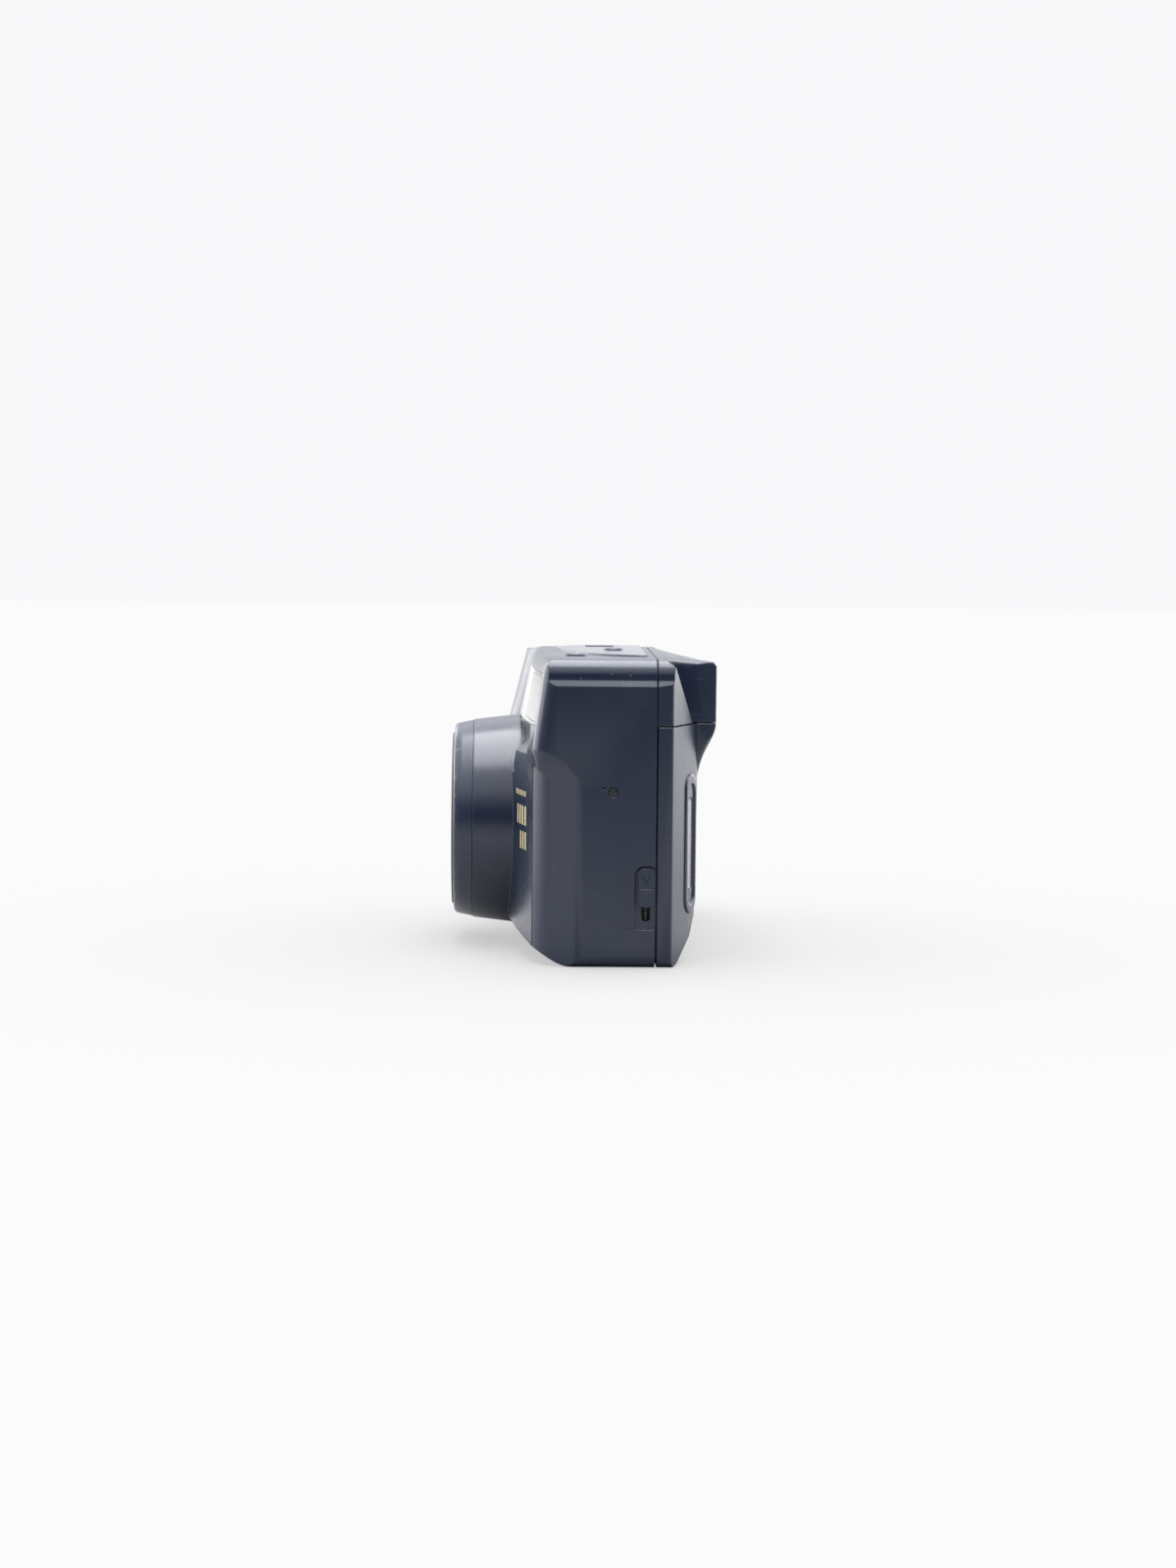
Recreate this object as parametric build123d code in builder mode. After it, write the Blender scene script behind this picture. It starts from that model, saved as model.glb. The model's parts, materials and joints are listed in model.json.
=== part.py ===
"""A compact 35 mm zoom camera, built as an assembly of separate pieces.

Frame: millimetres, +Z up, the lens looks along -Y, and +X is the photographer's left.
The origin is the centre of the tripod socket's mouth, on the flat base.
"""

from build123d import *
from math import cos, pi, radians, sin, sqrt
import os

os.makedirs("parts", exist_ok=True)

# Overall form
LEFT_X = 58.0  # the flat side with the door latch
RIGHT_X = -72.0  # the hand-grip side
TOP_Z = 73.0
TOP_SLOPE_X = -18.0  # from here the top falls away to the grip end
GRIP_TOP_Z = 69.6
CORNER_R = 4.0  # upright edges of the front, seen from above
BROW_R = 3.2  # long edge between top and front
BASE_R = 2.8  # left edge of the base
HUMP_END_R = 1.6  # edges round the left end of the eyepiece hump
RIM_R = 1.2  # rim over the facet on the left side
SEAM_Y = 12.4  # where the front and rear mouldings meet
DOOR_TOP_Z = 57.2
WALL = 1.8
GAP = 0.3
FACET_Y = -6.3  # the left side's slanting facet starts here
FACET_FRONT_R = 9.0  # where the facet turns into the bowed front
WAIST_LOW_Z = 46.2  # the fuller lower front ends here
WAIST_HIGH_Z = 49.2  # and the raked upper front starts here

# Lens
LENS_Z = 30.3
SHROUD_SEAM_Y = -31.5
SHROUD_FRONT_Y = -36.3
BARREL_FRONT_Y = -36.8
BARREL_R = 21.7
BARREL_BACK_Y = -3.0
INNER_BARREL_R = 20.0
HOUSING_R = 23.2
HOUSING_BORE_R = 21.95
HOUSING_BACK_Y = 2.6
RING_TEETH, PINION_TEETH, ZOOM_MODULE = 96, 12, 0.5
RING_Y = (-13.0, -9.9)

# Back
HUMP_LEFT_X = 41.0
HUMP_RIGHT_X = -24.0
HINGE_X, HINGE_Y, HINGE_R = -60.0, 19.2, 3.2
PIN_R = 0.8

# Film path
FILM_Y = 11.0
CARTRIDGE_X, CARTRIDGE_Y, CARTRIDGE_R = 41.2, 4.6, 12.9
SPOOL_X, SPOOL_Y, SPOOL_CHAMBER_R = -41.5, 2.0, 9.4
SPROCKET_X, SPROCKET_Y, SPROCKET_R = -24.9, 6.4, 4.5
CHASSIS_LOW_Z, CHASSIS_HIGH_Z = 3.6, 55.2

# Controls
FLASH_BUTTON_X, FLASH_BUTTON_Y = 37.0, -6.8
SHUTTER_X, SHUTTER_Y = -52.0, -1.0
POWER_X, POWER_Y = 11.0, 3.0
POD_Z = 69.6  # flat round seat under the zoom lever
BATTERY_X, BATTERY_Y, BATTERY_R = -61.2, -1.5, 8.5
LATCH_Y, LATCH_LOW_Z, LATCH_HIGH_Z = 9.9, 14.5, 23.8


def save(builder, name):
    """Labels a finished piece and writes it under its own name."""
    builder.part.label = name
    export_step(builder.part, f"parts/{name}.step")


def brick(x, y, z, mode=Mode.ADD):
    """A box between two x, two y and two z values."""
    with Locations(((x[0] + x[1]) / 2, (y[0] + y[1]) / 2, (z[0] + z[1]) / 2)):
        Box(x[1] - x[0], y[1] - y[0], z[1] - z[0], mode=mode)


def post(x, y, radius, z, mode=Mode.ADD):
    """A cylinder standing along Z between two heights."""
    with Locations((x, y, (z[0] + z[1]) / 2)):
        Cylinder(radius, z[1] - z[0], mode=mode)


def barrel(x, z, radius, y, mode=Mode.ADD):
    """A cylinder lying along Y between two depths."""
    with Locations(Location((x, (y[0] + y[1]) / 2, z), (90, 0, 0))):
        Cylinder(radius, y[1] - y[0], mode=mode)


def rod(y, z, radius, x, mode=Mode.ADD):
    """A cylinder lying along X between two positions."""
    with Locations(Location(((x[0] + x[1]) / 2, y, z), (0, 90, 0))):
        Cylinder(radius, x[1] - x[0], mode=mode)


def rounded(plane, *corners):
    """A closed outline on a plane through (x, y, corner radius) points."""
    with BuildSketch(plane) as outline:
        Polygon(*[(x, y) for x, y, _ in corners], align=None)
        for x, y, radius in corners:
            if radius > 0:
                fillet(outline.vertices().sort_by_distance((x, y, 0))[0], radius=radius)
    return outline.sketch


def turned(points, x=0.0, z=LENS_Z):
    """A solid of revolution about an axis along Y, from (radius, y) points."""
    with BuildPart(mode=Mode.PRIVATE) as solid:
        with BuildSketch(Plane.XY.offset(z)) as profile:
            Polygon(*[(x + radius, y) for radius, y in points], align=None)
        revolve(profile.sketch, axis=Axis((x, 0, z), (0, 1, 0)))
    return solid.part


def gear(teeth, module, thickness, bore):
    """A spur gear on the XY plane, its lower face at z = 0."""
    pitch = teeth * module / 2
    root, tip = pitch - 1.1 * module, pitch + 0.8 * module
    step = 2 * pi / teeth
    with BuildSketch(mode=Mode.PRIVATE) as tooth:
        Polygon(
            (root - 0.2, -0.26 * step * pitch), (tip, -0.11 * step * pitch),
            (tip, 0.11 * step * pitch), (root - 0.2, 0.26 * step * pitch), align=None,
        )
    with BuildPart(mode=Mode.PRIVATE) as wheel:
        with BuildSketch() as disc:
            Circle(root + 0.05)
            with PolarLocations(0, teeth):
                add(tooth.sketch)
            Circle(bore, mode=Mode.SUBTRACT)
        extrude(amount=thickness)
    return wheel.part


def screw(head_r, shank_r, length):
    """A cross-head screw, its head's underside at z = 0 and its shank going down."""
    with BuildPart(mode=Mode.PRIVATE) as fastener:
        Cylinder(head_r, 0.9, align=(Align.CENTER, Align.CENTER, Align.MIN))
        fillet(fastener.edges().sort_by(Axis.Z)[-1], radius=0.25)
        with BuildSketch(Plane.XY.offset(0.9)):
            Rectangle(1.3 * head_r, 0.3 * head_r)
            Rectangle(0.3 * head_r, 1.3 * head_r)
        extrude(amount=-0.5, mode=Mode.SUBTRACT)
        with BuildSketch(Plane.XY):
            Circle(shank_r)
        extrude(amount=-length)
    return fastener.part


# The outer form, as whole masses that the mouldings are cut from

def plan_outline(z, corner_y, centre_y, grip_y, grip_corner_y, inset):
    """The front moulding from above: flat left side, bowed front, swelling grip."""
    left, right = LEFT_X - inset, RIGHT_X + inset
    bow = centre_y - corner_y
    waist_x, bow_x = -32.0, 14.0
    waist_y = corner_y + bow * (1 - (waist_x / LEFT_X) ** 2) + inset
    bow_y = corner_y + bow * (1 - (bow_x / LEFT_X) ** 2) + inset
    corner = (left, corner_y + inset)
    grip_end = (right + 1.6, grip_corner_y + inset)
    with BuildSketch(Plane.XY.offset(z)) as outline:
        with BuildLine():
            Line((left, SEAM_Y), corner)
            ThreePointArc(corner, (bow_x, bow_y), (waist_x, waist_y))
            ThreePointArc((waist_x, waist_y), (-54.0, grip_y + inset), grip_end)
            Line(grip_end, (right, grip_corner_y + 7.0 + inset))
            Line((right, grip_corner_y + 7.0 + inset), (right, SEAM_Y))
            Line((right, SEAM_Y), (left, SEAM_Y))
        make_face()
        for x, y in (corner, grip_end):
            fillet(outline.vertices().sort_by_distance((x, y, 0))[0], radius=CORNER_R - inset)
    return outline.sketch


def lower_outline(inset):
    """The front below its waist from above, with the facet that slants off its left side."""
    left, back_y = LEFT_X - inset, FACET_Y + inset
    with BuildSketch(Plane.XY.offset(-5)) as outline:
        add(plan_outline(0.0, -14.7, -23.2, -24.6, -13.4, inset))
        Polygon(
            (left + 2, back_y + 3.3), (left, back_y), (left - 5.5, back_y - 9.0),
            (left - 16.5, back_y - 27.0), (left + 2, back_y - 27.0), align=None, mode=Mode.SUBTRACT,
        )
        for x, y, radius in ((left, back_y, CORNER_R + 1), (left - 5.5, back_y - 9.0, FACET_FRONT_R)):
            fillet(outline.vertices().sort_by_distance((x, y, 0))[0], radius=radius - inset)
    return outline.sketch


def shoulders(inset):
    """The whole body seen from the front: a narrow bevel high on the left, a lower grip end."""
    left, right = LEFT_X - inset, RIGHT_X + inset
    return rounded(
        Plane.XZ,
        (left, inset, BASE_R - inset / 2), (left, 66.6, 0), (left - 0.9, 68.0, 0),
        (left - 0.9, TOP_Z - inset, 4.2 - inset),
        (TOP_SLOPE_X, TOP_Z - inset, 0), (right, GRIP_TOP_Z - inset, 8.0 - inset), (right, inset, 1.6),
    )


def scoop(inset):
    """What is cut off the lower front corner of the left side, under a rising rim."""
    left, back_y = LEFT_X - inset, FACET_Y + inset + 1.6
    with BuildPart() as cutter:
        with BuildSketch(Plane.YZ.offset(left + 0.05)) as rim:
            with BuildLine():
                Line((-45, -5), (back_y, -5))
                Line((back_y, -5), (back_y, 38.0))
                ThreePointArc((back_y, 38.0), (-8.4 + inset, 47.2 + inset), (-16.8, 50.8 + inset))
                Line((-16.8, 50.8 + inset), (-45, 50.8 + inset))
                Line((-45, 50.8 + inset), (-45, -5))
            make_face()
        with BuildSketch(Plane.YZ.offset(left - 4.0)) as ridge:
            with BuildLine():
                Line((-45, -5), (back_y - 0.4, -5))
                Line((back_y - 0.4, -5), (back_y - 0.4, 33.0))
                ThreePointArc((back_y - 0.4, 33.0), (-11.2 + inset, 42.4 + inset), (-18.8, 48.8 + inset))
                Line((-18.8, 48.8 + inset), (-45, 48.8 + inset))
                Line((-45, 48.8 + inset), (-45, -5))
            make_face()
        loft([rim.sketch, ridge.sketch], ruled=True)
        extrude(ridge.sketch, amount=-4.4)
        # the form below the waist stays
        extrude(lower_outline(inset), amount=60, mode=Mode.SUBTRACT)
    return cutter.part


def front_mass(inset=0.0):
    """The whole form in front of the seam, or the space inside it where an inset is given."""
    side = rounded(
        Plane.YZ,
        (SEAM_Y, inset, 0), (-10.0 + inset / 2, inset, 12.0), (-21.6 + inset / 2, 7.0 + inset, 6.0),
        (-34.0, 12.0 + inset, 0), (-34.0, TOP_Z - inset, 0), (SEAM_Y, TOP_Z - inset, 0),
    )
    with BuildPart() as mass:
        sections = [
            plan_outline(0.0, -14.7, -23.2, -24.6, -13.4, inset),
            plan_outline(WAIST_LOW_Z, -14.7, -23.2, -24.6, -13.4, inset),
            plan_outline(WAIST_HIGH_Z + 2.0, -16.7, -21.2, -22.4, -12.4, inset),
        ]
        # the raked upper front, then its long edge rounded over into the top
        for turn in (0, 25, 50, 75, 90):
            z = TOP_Z - BROW_R + (BROW_R - inset) * sin(radians(turn))
            back = (BROW_R - inset) * (1 - cos(radians(turn)))
            sections.append(plan_outline(z, -14.3 + back, -17.2 + back, -17.5 + back, -9.2 + back, inset))
        loft(sections, ruled=True)
        extrude(side, amount=100, both=True, mode=Mode.INTERSECT)
        extrude(shoulders(inset), amount=60, both=True, mode=Mode.INTERSECT)
        add(scoop(inset), mode=Mode.SUBTRACT)
        if inset == 0:
            fillet(mass.edges().sort_by_distance((LEFT_X, -7.6, 46.2))[0], radius=RIM_R)
    return mass.part


def hump_section(x, inset):
    """The eyepiece hump cut across at x, with the flare that carries it into the door."""
    climb = (x - HUMP_RIGHT_X) / (HUMP_LEFT_X - HUMP_RIGHT_X)
    back_z, edge_z, slope_z = 68.6 + 2.3 * climb, 69.5 + 2.3 * climb, 71.2 + 1.2 * climb
    with BuildSketch(Plane.YZ.offset(x)) as section:
        with BuildLine():
            Polyline(
                (27.1 - inset, DOOR_TOP_Z), (27.1 - inset, back_z - inset), (26.4 - inset, edge_z - inset),
                (19.0, slope_z - inset), (SEAM_Y, TOP_Z - inset), (SEAM_Y, 40.0), (22.4 - inset, 40.0),
            )
            Spline(
                (22.4 - inset, 40.0), (22.9 - inset, 45.6), (24.8 - inset, 51.0),
                (26.6 - inset, 54.6), (27.1 - inset, DOOR_TOP_Z),
            )
        make_face()
    return section.sketch


def crease(z, y):
    """A sliver off the hump's left end, behind the crease that runs down it."""
    with BuildSketch(Plane.XY.offset(z)) as sliver:
        Polygon(
            (HUMP_LEFT_X, y), (HUMP_LEFT_X + 1, y), (HUMP_LEFT_X + 1, 28), (HUMP_LEFT_X - 1.4, 28),
            align=None,
        )
    return sliver.sketch


def rear_mass(inset=0.0):
    """The whole form behind the seam, with the eyepiece hump and the flare under it."""
    left, right = LEFT_X - inset, RIGHT_X + inset
    flat_y = 22.6 - inset
    shade = inset * 0.7
    plan = rounded(
        Plane.XY,
        (left, SEAM_Y, 0), (left - 0.35, 16.0 - shade, 0.8), (41.0, flat_y, 6.0), (-64.0, flat_y, 6.0),
        (right, 17.5 - shade, 3.0), (right, SEAM_Y, 0),
    )
    side = rounded(
        Plane.YZ,
        (SEAM_Y, inset, 0), (17.0 - shade, inset, 2.5), (20.8 - inset, 6.3 + shade, 3.0),
        (22.0 - inset, 11.4, 3.0), (flat_y, 42.0, 0), (flat_y, 57.2, 0), (21.2 - inset, 57.2, 0),
        (16.6 - inset, 71.0 - shade, 0.6), (14.0 - shade, TOP_Z - inset, 0), (SEAM_Y, TOP_Z - inset, 0),
    )
    with BuildPart() as mass:
        extrude(plan, amount=TOP_Z)
        extrude(side, amount=100, both=True, mode=Mode.INTERSECT)
        # the hump's left end is rounded over, all but inside, where the corner is plain
        sections = [hump_section(HUMP_RIGHT_X + inset, inset)]
        if inset == 0:
            for turn in (0, 30, 60, 90):
                x = HUMP_LEFT_X - HUMP_END_R * (1 - sin(radians(turn)))
                sections.append(hump_section(x, HUMP_END_R * (1 - cos(radians(turn)))))
        else:
            sections.append(hump_section(HUMP_LEFT_X - inset, inset))
        loft(sections, ruled=True)
        extrude(shoulders(inset), amount=60, both=True, mode=Mode.INTERSECT)
        loft([crease(DOOR_TOP_Z - 8, 25.2), crease(TOP_Z, 21.2)], ruled=True, mode=Mode.SUBTRACT)
    return mass.part


FRONT_OUTER = front_mass()
FRONT_INNER = front_mass(WALL)
PANEL_LAYER = front_mass(0.9)
REAR_OUTER = rear_mass()
REAR_INNER = rear_mass(WALL)


EYEPIECE_Z = 64.6
RIM_Z = DOOR_TOP_Z + GAP / 2


def skin(x, y, z):
    """A 0.9 mm layer of the front's own surface inside a box."""
    with BuildPart() as layer:
        add(FRONT_OUTER)
        add(PANEL_LAYER, mode=Mode.SUBTRACT)
        brick(x, y, z, mode=Mode.INTERSECT)
    return layer.part


COVER_SCREW_Y = 8.2
COVER_SCREWS = ((-68.2, 3.6), (51.2, 69.6), (-62.0, 66.2))
PANEL_X, PANEL_Z = (-26.0, 53.6), (56.9, 69.4)
FLASH_X, FLASH_Z = (28.4, 52.0), (57.9, 68.6)
FRONT_PANEL_AREA = skin(PANEL_X, (-40, 0), PANEL_Z)

LEAF_STEP = 0.4  # the leaf panel stands this far above the top

with BuildSketch(Plane.XY.offset(TOP_Z - 0.8)) as leaf:
    with BuildLine():
        Line((-17.8, 10.6), (40.6, 10.6))
        Line((40.6, 10.6), (42.0, 9.0))
        Spline((42.0, 9.0), (34.0, -1.8), (14.0, -8.6), (-1.0, -11.0), (-11.0, -9.8), (-17.8, -5.0))
        Line((-17.8, -5.0), (-17.8, 10.6))
    make_face()

# Hollows round the lens shroud, each worked out before the cover is cut

with BuildPart() as shroud_backing:
    add(turned([(23.7, -19.4), (32.0, -19.4), (32.0, -16.4), (23.7, -16.4)]))
    add(FRONT_OUTER, mode=Mode.INTERSECT)

with BuildPart() as shroud_hollow:
    add(turned([(26.05, -30.0), (31.5, -30.0), (30.3, -19.2), (28.0, -18.2), (26.1, -19.2)]))
    brick((-40, 40), (-40, 0), (44.0, 70.0), mode=Mode.INTERSECT)

# round-bottomed valley under the flash window, from the shroud out to the left edge
VALLEY_R = 5.0
VALLEY_START, VALLEY_END = Vector(8.0, -25.1, 53.4), Vector(44.0, -21.6, 53.8)



def valley(radius):
    """A round bar along the valley's line, with a ball at its outer end."""
    with BuildPart() as bar:
        with Locations(Plane(origin=VALLEY_START, z_dir=VALLEY_END - VALLEY_START)):
            Cylinder(
                radius, (VALLEY_END - VALLEY_START).length,
                align=(Align.CENTER, Align.CENTER, Align.MIN),
            )
        with Locations(VALLEY_END):
            Sphere(radius)
    return bar.part


with BuildPart() as valley_backing:
    add(valley(VALLEY_R + 1.3))
    add(FRONT_OUTER, mode=Mode.INTERSECT)

# Front cover: front, both sides, base and top in one shell, with the lens shroud

with BuildPart() as front_cover:
    add(FRONT_OUTER)
    add(FRONT_INNER, mode=Mode.SUBTRACT)
    add(valley_backing.part)
    add(valley(VALLEY_R), mode=Mode.SUBTRACT)
    # tapered shroud round the lens, standing on the bowed front
    add(turned([(23.6, -17.4), (26.2, -17.4), (26.1, -21.4), (24.9, SHROUD_SEAM_Y), (23.6, SHROUD_SEAM_Y)]))
    barrel(0, LENS_Z, 23.6, (-40, -14), mode=Mode.SUBTRACT)
    # hollow that the shroud sinks into where it meets the raked upper front, with a wall behind it
    add(shroud_backing.part)
    add(shroud_hollow.part, mode=Mode.SUBTRACT)
    # shadow line where the front and rear mouldings meet
    add(skin((-80, 80), (SEAM_Y - GAP, SEAM_Y), (-1, 80)), mode=Mode.SUBTRACT)
    # seat and openings of the window panel
    add(FRONT_PANEL_AREA, mode=Mode.SUBTRACT)
    brick((29.4, 51.0), (-30, -6), (58.9, 67.6), mode=Mode.SUBTRACT)
    brick((-7.0, 7.0), (-30, -6), (58.4, 68.2), mode=Mode.SUBTRACT)
    for window_x in (-20.5, -12.5):
        barrel(window_x, 63.4, 2.6, (-30, -6), mode=Mode.SUBTRACT)
    # seat of the raised top panel, with a hole for the display
    extrude(leaf.sketch, amount=3, mode=Mode.SUBTRACT)
    brick((-16.0, -3.0), (-4.6, 4.6), (68, 80), mode=Mode.SUBTRACT)
    post(POWER_X, POWER_Y, 2.7, (68, 80), mode=Mode.SUBTRACT)
    # flash button hole, and the round seat of the zoom lever and shutter button
    post(FLASH_BUTTON_X, FLASH_BUTTON_Y, 3.0, (68, 80), mode=Mode.SUBTRACT)
    post(SHUTTER_X, SHUTTER_Y, 9.8, (POD_Z - 1.6, POD_Z))
    post(SHUTTER_X, SHUTTER_Y, 9.4, (POD_Z, 80), mode=Mode.SUBTRACT)
    post(SHUTTER_X, SHUTTER_Y, 6.4, (60, 80), mode=Mode.SUBTRACT)
    # latch recess in the left side, and the slot that its stem slides in
    extrude(
        rounded(
            Plane.YZ.offset(LEFT_X - 0.9),
            (7.3, 9.2, 0.8), (7.3, 24.2, 1.9), (12.2, 24.2, 1.0), (12.2, 9.2, 0.8),
        ),
        amount=2, mode=Mode.SUBTRACT,
    )
    extrude(
        rounded(
            Plane.YZ.offset(LEFT_X - 3),
            (8.9, 11.2, 0.9), (8.9, 21.4, 0.9), (10.9, 21.4, 0.9), (10.9, 11.2, 0.9),
        ),
        amount=4, mode=Mode.SUBTRACT,
    )
    # ledge under the latch spring
    brick((LEFT_X - 3.0, LEFT_X - WALL), (8.6, 11.2), (7.2, 8.0))
    # side screw: counterbore, boss and hole
    rod(2.0, 41.8, 2.1, (LEFT_X - 3.1, LEFT_X - WALL))
    rod(2.0, 41.8, 1.2, (LEFT_X - 1.0, LEFT_X + 1), mode=Mode.SUBTRACT)
    rod(2.0, 41.8, 0.65, (LEFT_X - 6, LEFT_X), mode=Mode.SUBTRACT)
    rod(-0.2, 42.7, 0.35, (LEFT_X - 0.8, LEFT_X + 1), mode=Mode.SUBTRACT)
    # tripod socket hole, battery opening with its hinge ears
    post(0, 0, 4.7, (-1, 3), mode=Mode.SUBTRACT)
    brick((-69.7, -49.0), (-10.4, 7.4), (-1, 1.9), mode=Mode.SUBTRACT)
    for ear_y in ((-10.4, -8.6), (5.6, 7.4)):
        brick((-51.6, -49.0), ear_y, (1.2, 2.3))
        brick((-50.5, -49.0), ear_y, (0.0, 1.3))
        barrel(-50.5, 1.15, 1.1, ear_y)
        rod_ends = (ear_y[0] - 0.6, ear_y[1] + 0.6)
        barrel(-50.5, 1.15, 0.45, rod_ends, mode=Mode.SUBTRACT)
    # room for the battery door's hinge knuckle
    brick((-51.7, -49.0), (-8.6, 5.6), (1.8, 2.3), mode=Mode.SUBTRACT)
    # strap pocket in the grip end, crossed by a bar
    brick((-70.4, -67.2), (1.0, 8.0), (49.8, 60.2))
    brick((RIGHT_X - 1, -68.4), (2.0, 7.0), (51.2, 58.8), mode=Mode.SUBTRACT)
    post(-70.8, 4.5, 0.8, (50.2, 59.8), mode=Mode.SUBTRACT)
    # bosses for the screws that hold the rear moulding
    for boss_x, boss_z in COVER_SCREWS:
        barrel(boss_x, boss_z, 2.3, (COVER_SCREW_Y, SEAM_Y))
        barrel(boss_x, boss_z, 0.7, (1.0, SEAM_Y + 1), mode=Mode.SUBTRACT)

# Rear moulding: upper back with the eyepiece hump, and the hinge column at the grip end

with BuildPart() as upper_room:
    add(REAR_INNER)
    brick((-80, 80), (0, 40), (RIM_Z + 1.3, 80), mode=Mode.INTERSECT)

with BuildPart() as column_room:
    add(REAR_INNER)
    brick((-80, -65.4), (0, 40), (0, 57), mode=Mode.INTERSECT)

with BuildPart() as rear_cover:
    add(REAR_OUTER)
    add(upper_room.part, mode=Mode.SUBTRACT)
    add(column_room.part, mode=Mode.SUBTRACT)
    # the doorway, and the hollow that the hinge barrel turns in
    brick((-57.0, 80), (0, 40), (-1, RIM_Z), mode=Mode.SUBTRACT)
    post(HINGE_X, HINGE_Y, HINGE_R + GAP, (3.6, 53.4), mode=Mode.SUBTRACT)
    brick((-64.0, -56), (HINGE_Y, 40), (3.6, 53.4), mode=Mode.SUBTRACT)
    post(HINGE_X, HINGE_Y, PIN_R, (1.4, 57.2), mode=Mode.SUBTRACT)
    # eyepiece opening
    brick((-8.2, 8.2), (18, 40), (EYEPIECE_Z - 4.1, EYEPIECE_Z + 4.1), mode=Mode.SUBTRACT)
    # screw bosses that meet the front's
    for boss_x, boss_z in COVER_SCREWS:
        barrel(boss_x, boss_z, 2.2, (SEAM_Y, SEAM_Y + 2.4))
        barrel(boss_x, boss_z, 0.55, (SEAM_Y - 1, SEAM_Y + 1.8), mode=Mode.SUBTRACT)

# Film window in the door's slanted corner

WINDOW_PLANE = Plane(origin=(45.6, 20.68, 28.6), x_dir=(-16.65, 6.6, 0), z_dir=(6.6, 16.65, 0))
WINDOW_RIM, WINDOW_DISH, WINDOW_SLOT = (33.6, 7.4), (29.0, 5.2), (22.0, 3.4)

with BuildPart() as film_window_frame:
    with BuildSketch(WINDOW_PLANE.offset(-0.7)):
        SlotOverall(*WINDOW_RIM, rotation=90)
    extrude(amount=1.2)
    fillet(film_window_frame.faces().sort_by(Axis.Y)[-1].edges(), radius=0.4)
    with BuildSketch(WINDOW_PLANE.offset(0.1)):
        SlotOverall(*WINDOW_DISH, rotation=90)
    extrude(amount=2, mode=Mode.SUBTRACT)
    with BuildSketch(WINDOW_PLANE.offset(-3)):
        SlotOverall(*WINDOW_SLOT, rotation=90)
    extrude(amount=6, mode=Mode.SUBTRACT)

with BuildPart() as film_window:
    with BuildSketch(WINDOW_PLANE.offset(-1.5)):
        SlotOverall(WINDOW_SLOT[0] - 0.2, WINDOW_SLOT[1] - 0.2, rotation=90)
    extrude(amount=1.4)

with BuildPart() as window_seat:
    with BuildSketch(WINDOW_PLANE.offset(-0.7)):
        SlotOverall(*WINDOW_RIM, rotation=90)
    extrude(amount=5)
    with BuildSketch(WINDOW_PLANE.offset(-4)):
        SlotOverall(WINDOW_SLOT[0] - 0.1, WINDOW_SLOT[1] - 0.1, rotation=90)
    extrude(amount=6)

# Back door

with BuildPart() as door_room:
    add(REAR_INNER)
    brick((-55.2, 80), (0, 40), (WALL, DOOR_TOP_Z - 1.6), mode=Mode.INTERSECT)

with BuildPart() as back_door:
    add(REAR_OUTER)
    brick((HINGE_X, 80), (SEAM_Y + GAP / 2, 40), (0, DOOR_TOP_Z - GAP / 2), mode=Mode.INTERSECT)
    add(door_room.part, mode=Mode.SUBTRACT)
    brick((-70, -56.7), (0, 20.7), (-1, 60), mode=Mode.SUBTRACT)
    brick((-70, -55), (0, 40), (53.1, 60), mode=Mode.SUBTRACT)
    brick((-70, -55), (0, 40), (-1, 3.9), mode=Mode.SUBTRACT)
    post(HINGE_X, HINGE_Y, HINGE_R, (3.9, 53.1))
    post(HINGE_X, HINGE_Y, PIN_R + 0.05, (3, 54), mode=Mode.SUBTRACT)
    add(window_seat.part, mode=Mode.SUBTRACT)
    # stop behind the pressure plate's spring, and the keeper behind the latch
    brick((-1.6, 1.6), (20.4, 21.2), (27.0, 33.6))
    brick((53.4, 56.4), (13.4, 15.2), (24.4, 30.0))

# Pressure plate and its spring, and the door latch

with BuildPart() as pressure_plate:
    brick((-25.4, 25.4), (11.6, 12.6), (17.0, 43.6))
    fillet(pressure_plate.edges().filter_by(Axis.Y), radius=3.0)
    for end in (-1, 1):
        brick((end * 23 - 0.6, end * 23 + 0.6), (12.6, 13.2), (21.0, 39.6))

with BuildPart() as pressure_spring:
    with BuildSketch(Plane.XY.offset(27.6)):
        with BuildLine():
            ThreePointArc((-18.0, 12.7), (0, 19.9), (18.0, 12.7))
            Line((18.0, 12.7), (17.3, 12.7))
            ThreePointArc((17.3, 12.7), (0, 19.6), (-17.3, 12.7))
            Line((-17.3, 12.7), (-18.0, 12.7))
        make_face()
    extrude(amount=5.4)

with BuildPart() as door_latch:
    extrude(
        rounded(
            Plane.YZ.offset(LEFT_X - 0.75),
            (8.0, LATCH_LOW_Z, 1.8), (8.0, LATCH_HIGH_Z, 1.2),
            (11.8, LATCH_HIGH_Z, 1.2), (11.8, LATCH_LOW_Z, 1.8),
        ),
        amount=1.2,
    )
    # engraved arrow and two fine ridges over the thumb dip
    extrude(
        rounded(
            Plane.YZ.offset(LEFT_X + 0.2),
            (8.6, 22.4, 0), (9.2, 22.4, 0), (9.9, 20.6, 0), (10.6, 22.4, 0), (11.2, 22.4, 0), (9.9, 19.6, 0),
        ),
        amount=1, mode=Mode.SUBTRACT,
    )
    for ridge_z in (17.9, 18.5):
        brick((LEFT_X + 0.4, LEFT_X + 0.6), (8.5, 11.3), (ridge_z, ridge_z + 0.25))
    # stem through the slot, and the plate that runs behind the wall
    brick((LEFT_X - 2.0, LEFT_X - 0.7), (9.2, 10.6), (16.6, 21.0))
    brick((LEFT_X - 2.9, LEFT_X - 2.0), (8.0, 11.9), (15.4, 22.6))

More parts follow.
